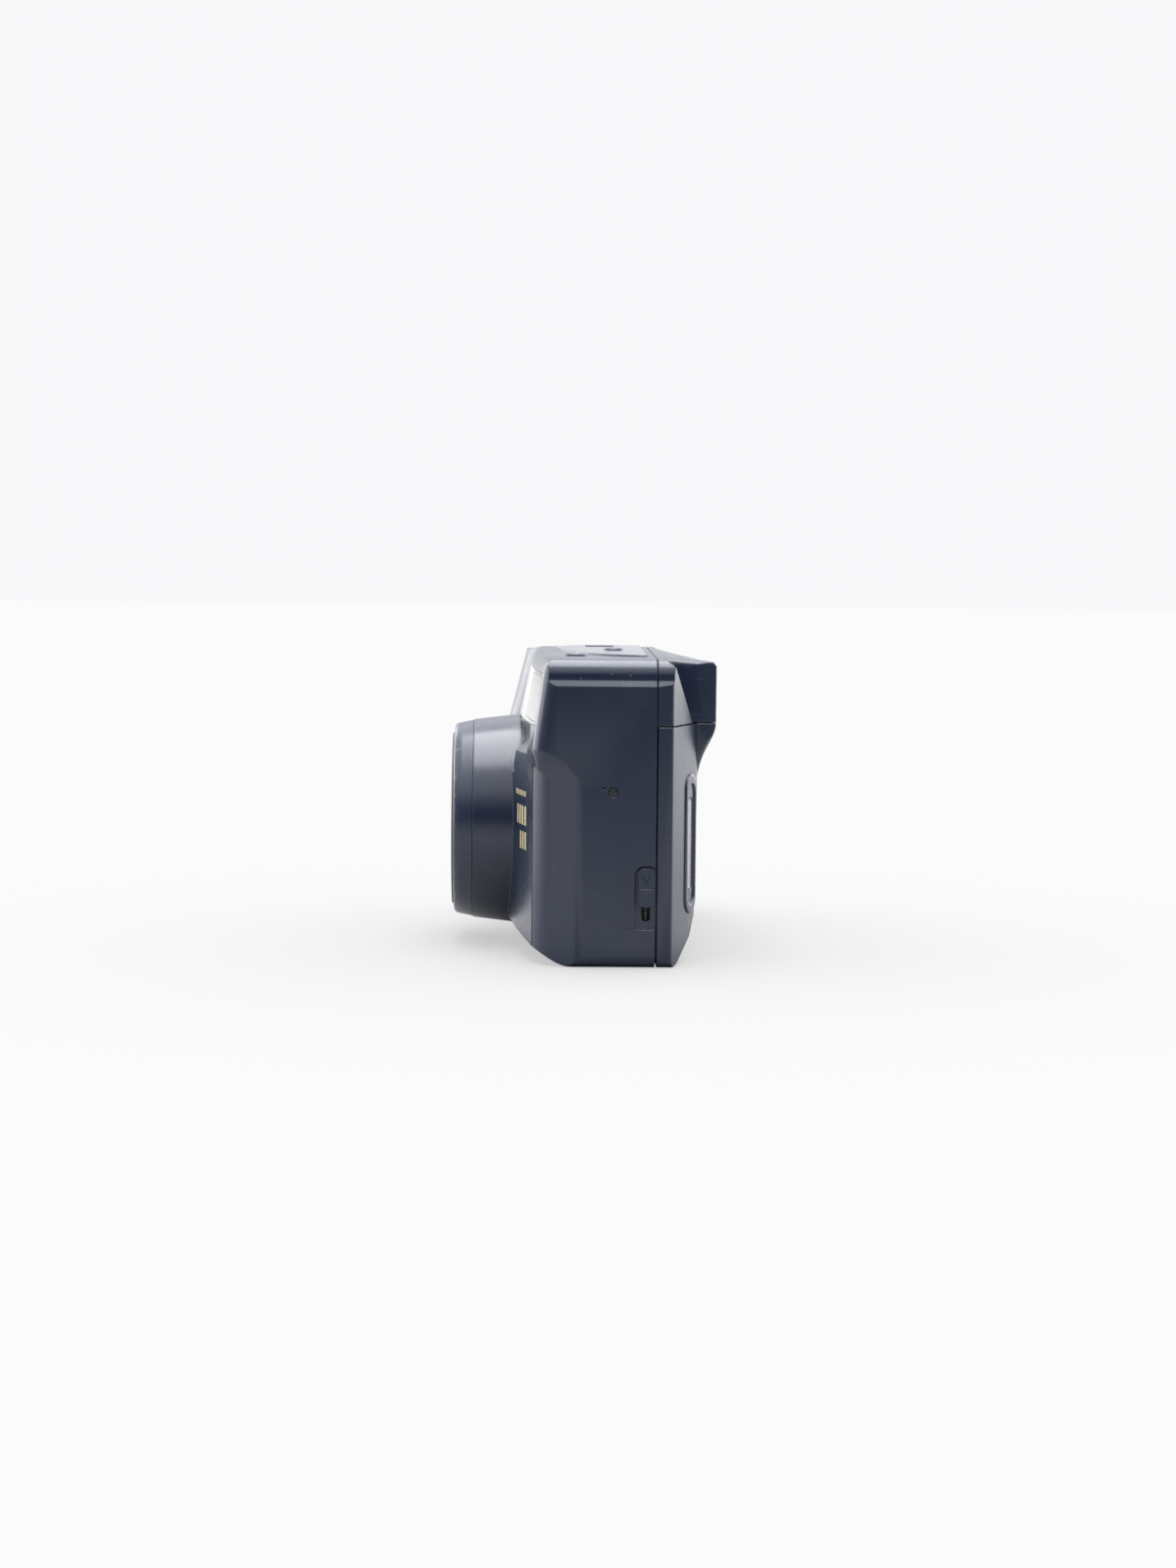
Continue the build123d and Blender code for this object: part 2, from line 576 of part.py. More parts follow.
SPRING_COIL_R, SPRING_WIRE_R, SPRING_Z = 0.42, 0.11, (8.2, 15.2)

with BuildPart() as latch_spring:
    with BuildLine():
        Helix(
            pitch=0.7, height=SPRING_Z[1] - SPRING_Z[0], radius=SPRING_COIL_R,
            center=(LEFT_X - 2.45, LATCH_Y, SPRING_Z[0]),
        )
    with BuildSketch(Plane(origin=(LEFT_X - 2.45 + SPRING_COIL_R, LATCH_Y, SPRING_Z[0]), z_dir=(0, 1, 0.26))):
        Circle(SPRING_WIRE_R)
    sweep(is_frenet=True)

with BuildPart() as hinge_pin:
    post(HINGE_X, HINGE_Y, PIN_R, (1.4, 57.1))

# Front trim: window panel, flash window, viewfinder window, shroud ring, leaf panel

with BuildPart() as window_panel:
    add(skin((PANEL_X[0] + 0.08, PANEL_X[1] - 0.08), (-40, 0), (PANEL_Z[0] + 0.08, PANEL_Z[1] - 0.08)))
    brick(FLASH_X, (-40, 0), FLASH_Z, mode=Mode.SUBTRACT)
    brick((-6.0, 6.0), (-40, 0), (59.4, 67.4), mode=Mode.SUBTRACT)

with BuildPart() as flash_window:
    add(skin((FLASH_X[0] + 0.08, FLASH_X[1] - 0.08), (-40, 0), (FLASH_Z[0] + 0.08, FLASH_Z[1] - 0.08)))

with BuildPart() as finder_window:
    add(skin((-5.92, 5.92), (-40, 0), (59.48, 67.32)))

with BuildPart() as shroud_ring:
    add(turned([
        (HOUSING_BORE_R, -31.6), (24.7, -31.6), (23.9, -35.5), (23.4, -36.1),
        (22.9, SHROUD_FRONT_Y), (HOUSING_BORE_R, SHROUD_FRONT_Y),
    ]))

with BuildPart() as top_panel:
    extrude(leaf.sketch, amount=0.8 + LEAF_STEP)
    chamfer(top_panel.faces().sort_by(Axis.Z)[-1].edges(), length=0.3)
    brick((-15.0, -4.0), (-3.6, 3.6), (70, 80), mode=Mode.SUBTRACT)
    brick((-16.0, -3.0), (-4.6, 4.6), (70, TOP_Z - 0.3), mode=Mode.SUBTRACT)
    post(POWER_X, POWER_Y, 2.7, (70, 80), mode=Mode.SUBTRACT)

with BuildPart() as display_window:
    brick((-15.9, -3.1), (-4.5, 4.5), (TOP_Z - 1.6, TOP_Z - 0.4))
    brick((-14.9, -4.1), (-3.5, 3.5), (TOP_Z - 0.4, TOP_Z + 0.2))

with BuildPart() as eyepiece_frame:
    brick((-8.1, 8.1), (25.0, 27.9), (EYEPIECE_Z - 4.0, EYEPIECE_Z + 4.0))
    fillet(eyepiece_frame.edges().filter_by(Axis.Y), radius=1.2)
    brick((-5.6, 5.6), (20, 30), (EYEPIECE_Z - 2.6, EYEPIECE_Z + 2.6), mode=Mode.SUBTRACT)

with BuildPart() as eyepiece_lens:
    brick((-7.4, 7.4), (22.6, 24.9), (EYEPIECE_Z - 3.7, EYEPIECE_Z + 3.7))

# Controls on the top

BOARD_SWITCH_Z = 60.4

def push_button(x, y, radius, top_z, seat_z, stem_z):
    """A round button with a retaining flange and a stem down to its switch."""
    with BuildPart(mode=Mode.PRIVATE) as button:
        post(x, y, radius, (seat_z, top_z))
        fillet(button.edges().sort_by(Axis.Z)[-1], radius=0.5)
        post(x, y, radius + 0.8, (seat_z - 1.0, seat_z))
        post(x, y, 1.2, (stem_z, seat_z - 0.9))
    return button.part


with BuildPart() as shutter_button:
    add(push_button(SHUTTER_X, SHUTTER_Y, 4.9, POD_Z + 1.6, POD_Z - 2.9, BOARD_SWITCH_Z))
    with Locations((SHUTTER_X, SHUTTER_Y, POD_Z + 1.6 + 13.4)):
        Sphere(14.0, mode=Mode.SUBTRACT)

with BuildPart() as flash_button:
    add(push_button(FLASH_BUTTON_X, FLASH_BUTTON_Y, 2.8, TOP_Z + 0.5, TOP_Z - 2.1, 70.0))

with BuildPart() as power_button:
    add(push_button(POWER_X, POWER_Y, 2.5, TOP_Z + 0.8, TOP_Z - 2.1, BOARD_SWITCH_Z))

with BuildPart() as zoom_lever:
    post(SHUTTER_X, SHUTTER_Y, 8.7, (POD_Z + 0.1, POD_Z + 1.1))
    fillet(zoom_lever.edges().group_by(Axis.Z)[-1], radius=0.3)
    brick(
        (SHUTTER_X - 2.4, SHUTTER_X + 2.4), (SHUTTER_Y - 9.0, SHUTTER_Y - 6), (POD_Z + 0.9, POD_Z + 1.4),
    )
    post(SHUTTER_X, SHUTTER_Y, 6.3, (POD_Z - 2.4, POD_Z + 0.2))
    post(SHUTTER_X, SHUTTER_Y, 7.3, (POD_Z - 2.6, POD_Z - 1.9))
    post(SHUTTER_X, SHUTTER_Y, 5.15, (60, 80), mode=Mode.SUBTRACT)

with BuildPart() as button_switches:
    for switch_x, switch_y, switch_z in (
        (SHUTTER_X, SHUTTER_Y, 58.2), (FLASH_BUTTON_X, FLASH_BUTTON_Y, 68.0), (POWER_X, POWER_Y, 58.2),
    ):
        brick((switch_x - 2, switch_x + 2), (switch_y - 2, switch_y + 2), (switch_z, switch_z + 0.8))
        post(switch_x, switch_y, 1.1, (switch_z + 0.7, switch_z + 1.2))

# Lens

TUBE_FRONT_Y = -31.2

# the motor sits where a tooth gap of its pinion faces a tooth of the drive ring
MOTOR_ANGLE = 11 * 360 / RING_TEETH
PINION_TURN = (MOTOR_ANGLE + 180 + 180 / PINION_TEETH) % (360 / PINION_TEETH)
CENTRE_DISTANCE = (RING_TEETH + PINION_TEETH) * ZOOM_MODULE / 2
MOTOR_X = CENTRE_DISTANCE * cos(radians(MOTOR_ANGLE))
MOTOR_Z = LENS_Z + CENTRE_DISTANCE * sin(radians(MOTOR_ANGLE))

with BuildPart() as lens_tube_front:
    add(turned([
        (HOUSING_BORE_R, TUBE_FRONT_Y), (HOUSING_R, TUBE_FRONT_Y), (HOUSING_R, -13.9), (25.6, -13.9),
        (25.6, -9.7), (24.7, -9.7), (24.7, RING_Y[0] - 0.2), (HOUSING_BORE_R, RING_Y[0] - 0.2),
    ]))
    # the pinion's notch
    barrel(MOTOR_X, MOTOR_Z, 3.8, (RING_Y[0] - 0.2, -9), mode=Mode.SUBTRACT)

with BuildPart() as lens_tube_rear:
    add(turned([
        (HOUSING_BORE_R, -9.6), (25.6, -9.6), (25.6, -8.5), (HOUSING_R, -8.5),
        (HOUSING_R, HOUSING_BACK_Y), (HOUSING_BORE_R, HOUSING_BACK_Y),
    ]))
    brick((-27.0, 27.0), (1.3, HOUSING_BACK_Y), (4.6, 54.8))
    barrel(0, LENS_Z, HOUSING_BORE_R, (-10, 3), mode=Mode.SUBTRACT)
    barrel(MOTOR_X, MOTOR_Z, 3.8, (-12, 3), mode=Mode.SUBTRACT)
    # clear of the sprocket and of the tripod bush
    brick((-28, -18.9), (1, 3), (11.4, 49.2), mode=Mode.SUBTRACT)
    brick((-11.5, 11.5), (1, 3), (4, 7.0), mode=Mode.SUBTRACT)
    for corner_x, corner_z in ((-24.4, 7.2), (24.4, 7.2), (-24.4, 52.2)):
        barrel(corner_x, corner_z, 0.9, (0, 4), mode=Mode.SUBTRACT)

with BuildPart() as drive_ring:
    with Locations(Location((0, RING_Y[1], LENS_Z), (90, 0, 0))):
        add(gear(RING_TEETH, ZOOM_MODULE, RING_Y[1] - RING_Y[0], HOUSING_BORE_R))

with BuildPart() as zoom_pinion:
    with Locations(Location((MOTOR_X, RING_Y[1] - 0.1, MOTOR_Z), (90, 0, 0))):
        add(gear(PINION_TEETH, ZOOM_MODULE, 2.7, 0.5).rotate(Axis.Z, PINION_TURN))

with BuildPart() as zoom_motor:
    barrel(MOTOR_X, MOTOR_Z, 3.6, (-9.0, 2.4))
    fillet(zoom_motor.edges(), radius=0.5)
    barrel(MOTOR_X, MOTOR_Z, 0.48, (-12.9, -8.8))

with BuildPart() as outer_barrel:
    add(turned([
        (20.25, BARREL_FRONT_Y), (21.3, BARREL_FRONT_Y), (BARREL_R, BARREL_FRONT_Y + 0.4),
        (BARREL_R, BARREL_BACK_Y), (20.25, BARREL_BACK_Y),
    ]))

with BuildPart() as inner_barrel:
    add(turned([
        (7.6, -36.0), (18.6, -36.5), (19.6, -36.5), (INNER_BARREL_R, -36.1), (INNER_BARREL_R, -8.0),
        (18.2, -8.0), (18.2, -34.6), (9.0, -34.6),
    ]))

with BuildPart() as barrier_base:
    add(turned([(8.4, -33.2), (18.1, -33.2), (18.1, -32.2), (8.4, -32.2)]))
    for side in (-1, 1):
        barrel(side * 13.5, LENS_Z, 0.7, (-34.5, -33.1))


BLADE_PLANE = Plane(origin=(0, -34.3, LENS_Z), x_dir=(-1, 0, 0), z_dir=(0, 1, 0))


def barrier_blade(side):
    """Half of the lens cover, with an ear on its pivot at the end of its straight edge."""
    with BuildPart(mode=Mode.PRIVATE) as blade:
        with BuildSketch(BLADE_PLANE):
            Circle(8.8)
            Rectangle(30, 15, align=(Align.CENTER, Align.MAX), mode=Mode.SUBTRACT)
            with Locations((0, 0.06)):
                Rectangle(15.2, 1.0, align=(Align.MAX, Align.MIN))
            with Locations((-13.5, 0)):
                Circle(1.7)
                Circle(0.75, mode=Mode.SUBTRACT)
        extrude(amount=0.8)
    if side < 0:
        return blade.part.rotate(Axis((0, 0, LENS_Z), (0, 1, 0)), 180)
    return blade.part


with BuildPart() as barrier_blade_upper:
    add(barrier_blade(1))

with BuildPart() as barrier_blade_lower:
    add(barrier_blade(-1))

def lens_arc(y, curve_r, reach):
    """An arc from the axis at depth y out to a reach; a negative radius curves it the other way."""
    half, side = reach / 2, 1 if curve_r > 0 else -1
    middle = y + curve_r - side * sqrt(curve_r**2 - half**2)
    end = y + curve_r - side * sqrt(curve_r**2 - reach**2)
    return ThreePointArc((0, y), (half, middle), (reach, end))


with BuildPart() as front_lens_cell:
    add(turned([(9.1, -31.8), (18.1, -31.8), (18.1, -30.6), (11.0, -30.6), (11.0, -24.0), (9.1, -24.0)]))

with BuildPart() as front_lens:
    with BuildSketch(Plane.XY.offset(LENS_Z)):
        with BuildLine():
            near = lens_arc(-31.0, 20.0, 9.0)
            far = lens_arc(-26.7, 34.0, 9.0)
            Line(near @ 1, far @ 1)
            Line(far @ 0, near @ 0)
        make_face()
    revolve(axis=Axis((0, 0, LENS_Z), (0, 1, 0)))

with BuildPart() as shutter_unit:
    add(turned([
        (5.0, -22.0), (18.1, -22.0), (18.1, -17.0), (9.8, -17.0), (9.8, -8.8), (8.0, -8.8), (8.0, -13.4),
        (5.0, -13.4),
    ]))

with BuildPart() as rear_lens:
    with BuildSketch(Plane.XY.offset(LENS_Z)):
        with BuildLine():
            near = lens_arc(-12.9, 30.0, 7.9)
            far = lens_arc(-9.4, -26.0, 7.9)
            Line(near @ 1, far @ 1)
            Line(far @ 0, near @ 0)
        make_face()
    revolve(axis=Axis((0, 0, LENS_Z), (0, 1, 0)))

# Film transport

with BuildPart() as film_chassis:
    brick((27.5, 54.8), (-9.2, FILM_Y), (CHASSIS_LOW_Z, CHASSIS_HIGH_Z))
    brick((-51.9, -31.0), (-8.4, FILM_Y), (CHASSIS_LOW_Z, CHASSIS_HIGH_Z))
    brick((-31.0, 27.5), (3.0, FILM_Y), (CHASSIS_LOW_Z, CHASSIS_HIGH_Z))
    fillet(film_chassis.edges().filter_by(Axis.Z).sort_by(Axis.Y)[:4], radius=2.5)
    add(scoop(2.3), mode=Mode.SUBTRACT)
    # cartridge chamber and take-up chamber, open to the back
    post(CARTRIDGE_X, CARTRIDGE_Y, CARTRIDGE_R, (4.8, 54.0), mode=Mode.SUBTRACT)
    brick(
        (CARTRIDGE_X - CARTRIDGE_R, CARTRIDGE_X + CARTRIDGE_R), (CARTRIDGE_Y, 12), (4.8, 54.0),
        mode=Mode.SUBTRACT,
    )
    post(SPOOL_X, SPOOL_Y, SPOOL_CHAMBER_R, (4.8, 54.0), mode=Mode.SUBTRACT)
    brick(
        (SPOOL_X - SPOOL_CHAMBER_R, SPOOL_X + SPOOL_CHAMBER_R), (SPOOL_Y, 12), (4.8, 54.0),
        mode=Mode.SUBTRACT,
    )
    # picture gate, with a wider light box in front of it, and the sprocket's pocket
    brick((-18.0, 18.0), (2, 12), (LENS_Z - 12.0, LENS_Z + 12.0), mode=Mode.SUBTRACT)
    brick((-18.0, 18.0), (2, 8.6), (LENS_Z - 14.5, LENS_Z + 14.5), mode=Mode.SUBTRACT)
    brick((-30.9, -19.0), (2, 12), (12.0, 48.6), mode=Mode.SUBTRACT)
    post(SPROCKET_X, SPROCKET_Y, 1.05, (9.0, 51.6), mode=Mode.SUBTRACT)
    # film rails and the guides outside them
    for side in (-1, 1):
        rail_z = LENS_Z + side * 13.1
        brick((-18.6, 26.0), (FILM_Y - 0.1, FILM_Y + 0.25), (rail_z - 0.6, rail_z + 0.6))
        guide_z = LENS_Z + side * 18.2
        brick((-18.6, 26.0), (FILM_Y - 0.1, FILM_Y + 0.5), (guide_z - 0.6, guide_z + 0.6))
    # room for the tripod bush, and holes for the fork, the contacts and the screws
    brick((-11.4, 11.4), (2, 4.9), (CHASSIS_LOW_Z - 1, 7.2), mode=Mode.SUBTRACT)
    post(CARTRIDGE_X, CARTRIDGE_Y, 1.3, (3, 6), mode=Mode.SUBTRACT)
    post(SPOOL_X, SPOOL_Y, 1.05, (3, 6), mode=Mode.SUBTRACT)
    for contact in range(5):
        barrel(CARTRIDGE_X, 18.3 + 6.0 * contact, 1.2, (-10, -7), mode=Mode.SUBTRACT)
    for corner_x, corner_z in ((-24.4, 7.2), (24.4, 7.2), (-24.4, 52.2)):
        barrel(corner_x, corner_z, 0.65, (2, 7), mode=Mode.SUBTRACT)

with BuildPart() as dx_contacts:
    for contact in range(5):
        barrel(CARTRIDGE_X, 18.3 + 6.0 * contact, 1.15, (-9.4, -7.9))

with BuildPart() as take_up_spool:
    post(SPOOL_X, SPOOL_Y, 6.4, (8.4, 51.0))
    for rim_z in (9.2, 49.4):
        post(SPOOL_X, SPOOL_Y, 8.6, (rim_z, rim_z + 0.9))
    post(SPOOL_X, SPOOL_Y, 5.4, (9.6, 51.5), mode=Mode.SUBTRACT)
    with Locations((SPOOL_X, SPOOL_Y, 5.4)):
        add(gear(28, 0.5, 2.0, 0.5))
    post(SPOOL_X, SPOOL_Y, 3.0, (7.2, 8.6))
    post(SPOOL_X, SPOOL_Y, 1.0, (3.7, 9.0))
    # film claws
    for turn in range(4):
        with Locations((SPOOL_X, SPOOL_Y, LENS_Z)):
            with PolarLocations(6.5, 1, start_angle=90 * turn + 30):
                Box(0.9, 1.6, 1.6)

with BuildPart() as transport_motor:
    post(SPOOL_X, SPOOL_Y, 5.0, (13.0, 42.0))
    fillet(transport_motor.edges(), radius=0.6)
    post(SPOOL_X, SPOOL_Y, 2.4, (41.8, 54.0))

with BuildPart() as film_sprocket:
    post(SPROCKET_X, SPROCKET_Y, 2.6, (12.6, 48.0))
    for row_z in (13.4, 45.2):
        post(SPROCKET_X, SPROCKET_Y, SPROCKET_R - 0.05, (row_z, row_z + 2.0))
        with Locations((SPROCKET_X, SPROCKET_Y, row_z + 1.0)):
            with PolarLocations(SPROCKET_R + 0.35, 6):
                Box(1.1, 1.4, 1.2)
    post(SPROCKET_X, SPROCKET_Y, 1.0, (9.4, 51.2))

with BuildPart() as rewind_fork:
    post(CARTRIDGE_X, CARTRIDGE_Y, 3.4, (5.0, 5.9))
    post(CARTRIDGE_X, CARTRIDGE_Y, 2.0, (5.8, 8.4))
    brick(
        (CARTRIDGE_X - 3, CARTRIDGE_X + 3), (CARTRIDGE_Y - 0.6, CARTRIDGE_Y + 0.6), (6.8, 9),
        mode=Mode.SUBTRACT,
    )
    post(CARTRIDGE_X, CARTRIDGE_Y, 1.25, (2.4, 5.1))

with BuildPart() as light_seals:
    for seal_z in (8.4, 50.6):
        brick((-30.0, 27.0), (FILM_Y + 0.05, SEAM_Y), (seal_z, seal_z + 1.4))

# Power and electronics

with BuildPart() as battery:
    post(BATTERY_X, BATTERY_Y, BATTERY_R, (2.6, 36.2))
    fillet(battery.edges(), radius=0.6)
    post(BATTERY_X, BATTERY_Y, 3.2, (36.0, 37.0))

with BuildPart() as battery_cap:
    brick((-68.8, -52.4), (-9.4, 6.6), (37.1, 39.8))
    fillet(battery_cap.edges().filter_by(Axis.Z), radius=3.0)
    for rib_x in (-66.0, -56.4):
        brick((rib_x - 0.6, rib_x + 0.6), (-8.4, 5.6), (39.7, 42.4))

with BuildPart() as battery_door:
    brick((-69.5, -51.8), (-10.2, 7.2), (0.0, 1.7))
    barrel(-50.5, 1.15, 1.0, (-8.4, 5.4))
    brick((-52.4, -50.5), (-8.4, 5.4), (0.15, 1.4))
    barrel(-50.5, 1.15, 0.5, (-9, 6), mode=Mode.SUBTRACT)
    brick((-68.6, -67.4), (-4.5, 1.5), (-1, 0.5), mode=Mode.SUBTRACT)

with BuildPart() as battery_door_pin:
    barrel(-50.5, 1.15, 0.45, (-9.9, 6.9))

with BuildPart() as tripod_socket:
    post(0, 0, 4.6, (0, 6.4))
    brick((-10.8, 10.8), (-4.2, 4.2), (1.85, 3.0))
    post(0, 0, 2.6, (-1, 5.6), mode=Mode.SUBTRACT)

with BuildPart() as main_board:
    brick((-66.0, 54.0), (-9.0, 11.0), (57.35, 58.15))
    brick((-27.0, 27.0), (-12, -3.0), (57, 59), mode=Mode.SUBTRACT)

with BuildPart() as flash_capacitor:
    post(-44.0, -14.6, 5.6, (12.4, 49.4))
    fillet(flash_capacitor.edges(), radius=0.7)

with BuildPart() as flash_reflector:
    with BuildSketch(Plane.YZ.offset(29.8)):
        with BuildLine():
            ThreePointArc((-12.4, 59.6), (-6.2, 63.2), (-12.4, 66.8))
            Line((-12.4, 66.8), (-12.4, 67.3))
            ThreePointArc((-12.4, 67.3), (-5.7, 63.2), (-12.4, 59.1))
            Line((-12.4, 59.1), (-12.4, 59.6))
        make_face()
    extrude(amount=20.8)

with BuildPart() as flash_tube:
    rod(-8.6, 63.2, 1.1, (28.8, 51.6))

with BuildPart() as finder_body:
    brick((-8.6, 8.6), (-13.4, 21.0), (59.2, 69.2))
    brick((-6.6, 6.6), (-14, 22), (60.4, 68.0), mode=Mode.SUBTRACT)
    brick((-6.6, 6.6), (-4.4, 4.4), (65, 70), mode=Mode.SUBTRACT)

with BuildPart() as finder_objective:
    with BuildSketch(Plane.YZ.offset(-6.5)):
        with BuildLine():
            ThreePointArc((-12.6, 60.5), (-11.8, 64.2), (-12.6, 67.9))
            Line((-12.6, 67.9), (-9.6, 67.9))
            Line((-9.6, 67.9), (-9.6, 60.5))
            Line((-9.6, 60.5), (-12.6, 60.5))
        make_face()
    extrude(amount=13.0)

with BuildPart() as focus_sensor:
    brick((-23.6, -9.4), (-12.6, -6.0), (59.6, 67.2))
    for eye_x in (-20.5, -12.5):
        barrel(eye_x, 63.4, 2.3, (-15.0, -12.5))

with BuildPart() as strap_bar:
    post(-70.8, 4.5, 0.8, (50.2, 59.8))

with BuildPart() as side_screw:
    with Locations(Location((LEFT_X - 1.0, 2.0, 41.8), (0, 90, 0))):
        add(screw(1.05, 0.55, 2.0))

with BuildPart() as cover_screws:
    for boss_x, boss_z in COVER_SCREWS:
        with Locations(Location((boss_x, COVER_SCREW_Y, boss_z), (90, 0, 0))):
            add(screw(1.3, 0.5, 5.6))

with BuildPart() as lens_screws:
    for corner_x, corner_z in ((-24.4, 7.2), (24.4, 7.2), (-24.4, 52.2)):
        with Locations(Location((corner_x, 1.3, corner_z), (90, 0, 0))):
            add(screw(1.5, 0.6, 5.0))

PIECES = {
    "front_cover": front_cover, "rear_cover": rear_cover, "back_door": back_door,
    "hinge_pin": hinge_pin, "film_window_frame": film_window_frame, "film_window": film_window,
    "pressure_plate": pressure_plate, "pressure_spring": pressure_spring, "door_latch": door_latch,
    "latch_spring": latch_spring, "window_panel": window_panel, "flash_window": flash_window,
    "finder_window": finder_window, "shroud_ring": shroud_ring, "top_panel": top_panel,
    "display_window": display_window,
    "eyepiece_frame": eyepiece_frame, "eyepiece_lens": eyepiece_lens,
    "shutter_button": shutter_button, "flash_button": flash_button, "power_button": power_button,
    "zoom_lever": zoom_lever, "button_switches": button_switches,
    "lens_tube_front": lens_tube_front, "lens_tube_rear": lens_tube_rear, "drive_ring": drive_ring,
    "zoom_pinion": zoom_pinion, "zoom_motor": zoom_motor, "outer_barrel": outer_barrel,
    "inner_barrel": inner_barrel, "barrier_base": barrier_base,
    "barrier_blade_upper": barrier_blade_upper, "barrier_blade_lower": barrier_blade_lower,
    "front_lens_cell": front_lens_cell, "front_lens": front_lens, "shutter_unit": shutter_unit,
    "rear_lens": rear_lens, "film_chassis": film_chassis,
    "dx_contacts": dx_contacts, "take_up_spool": take_up_spool, "transport_motor": transport_motor,
    "film_sprocket": film_sprocket, "rewind_fork": rewind_fork, "light_seals": light_seals,
    "battery": battery, "battery_cap": battery_cap,
    "battery_door": battery_door, "battery_door_pin": battery_door_pin,
    "tripod_socket": tripod_socket,
    "main_board": main_board, "flash_capacitor": flash_capacitor,
    "flash_reflector": flash_reflector, "flash_tube": flash_tube, "finder_body": finder_body,
    "finder_objective": finder_objective, "focus_sensor": focus_sensor,
    "strap_bar": strap_bar, "side_screw": side_screw, "cover_screws": cover_screws,
    "lens_screws": lens_screws,
}
for name, builder in PIECES.items():
    save(builder, name)
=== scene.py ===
"""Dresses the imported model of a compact 35 mm zoom camera and sets its studio scene.

The frame is the model's own, in metres: +Z up, the lens looks along -Y, and +X is the
photographer's left, which is the side that the camera view shows. The sizes of pieces are in
millimetres, and those of the studio are in metres.
"""

from __future__ import annotations

import json
import logging
import math
from dataclasses import dataclass, field
from enum import Enum
from typing import Any

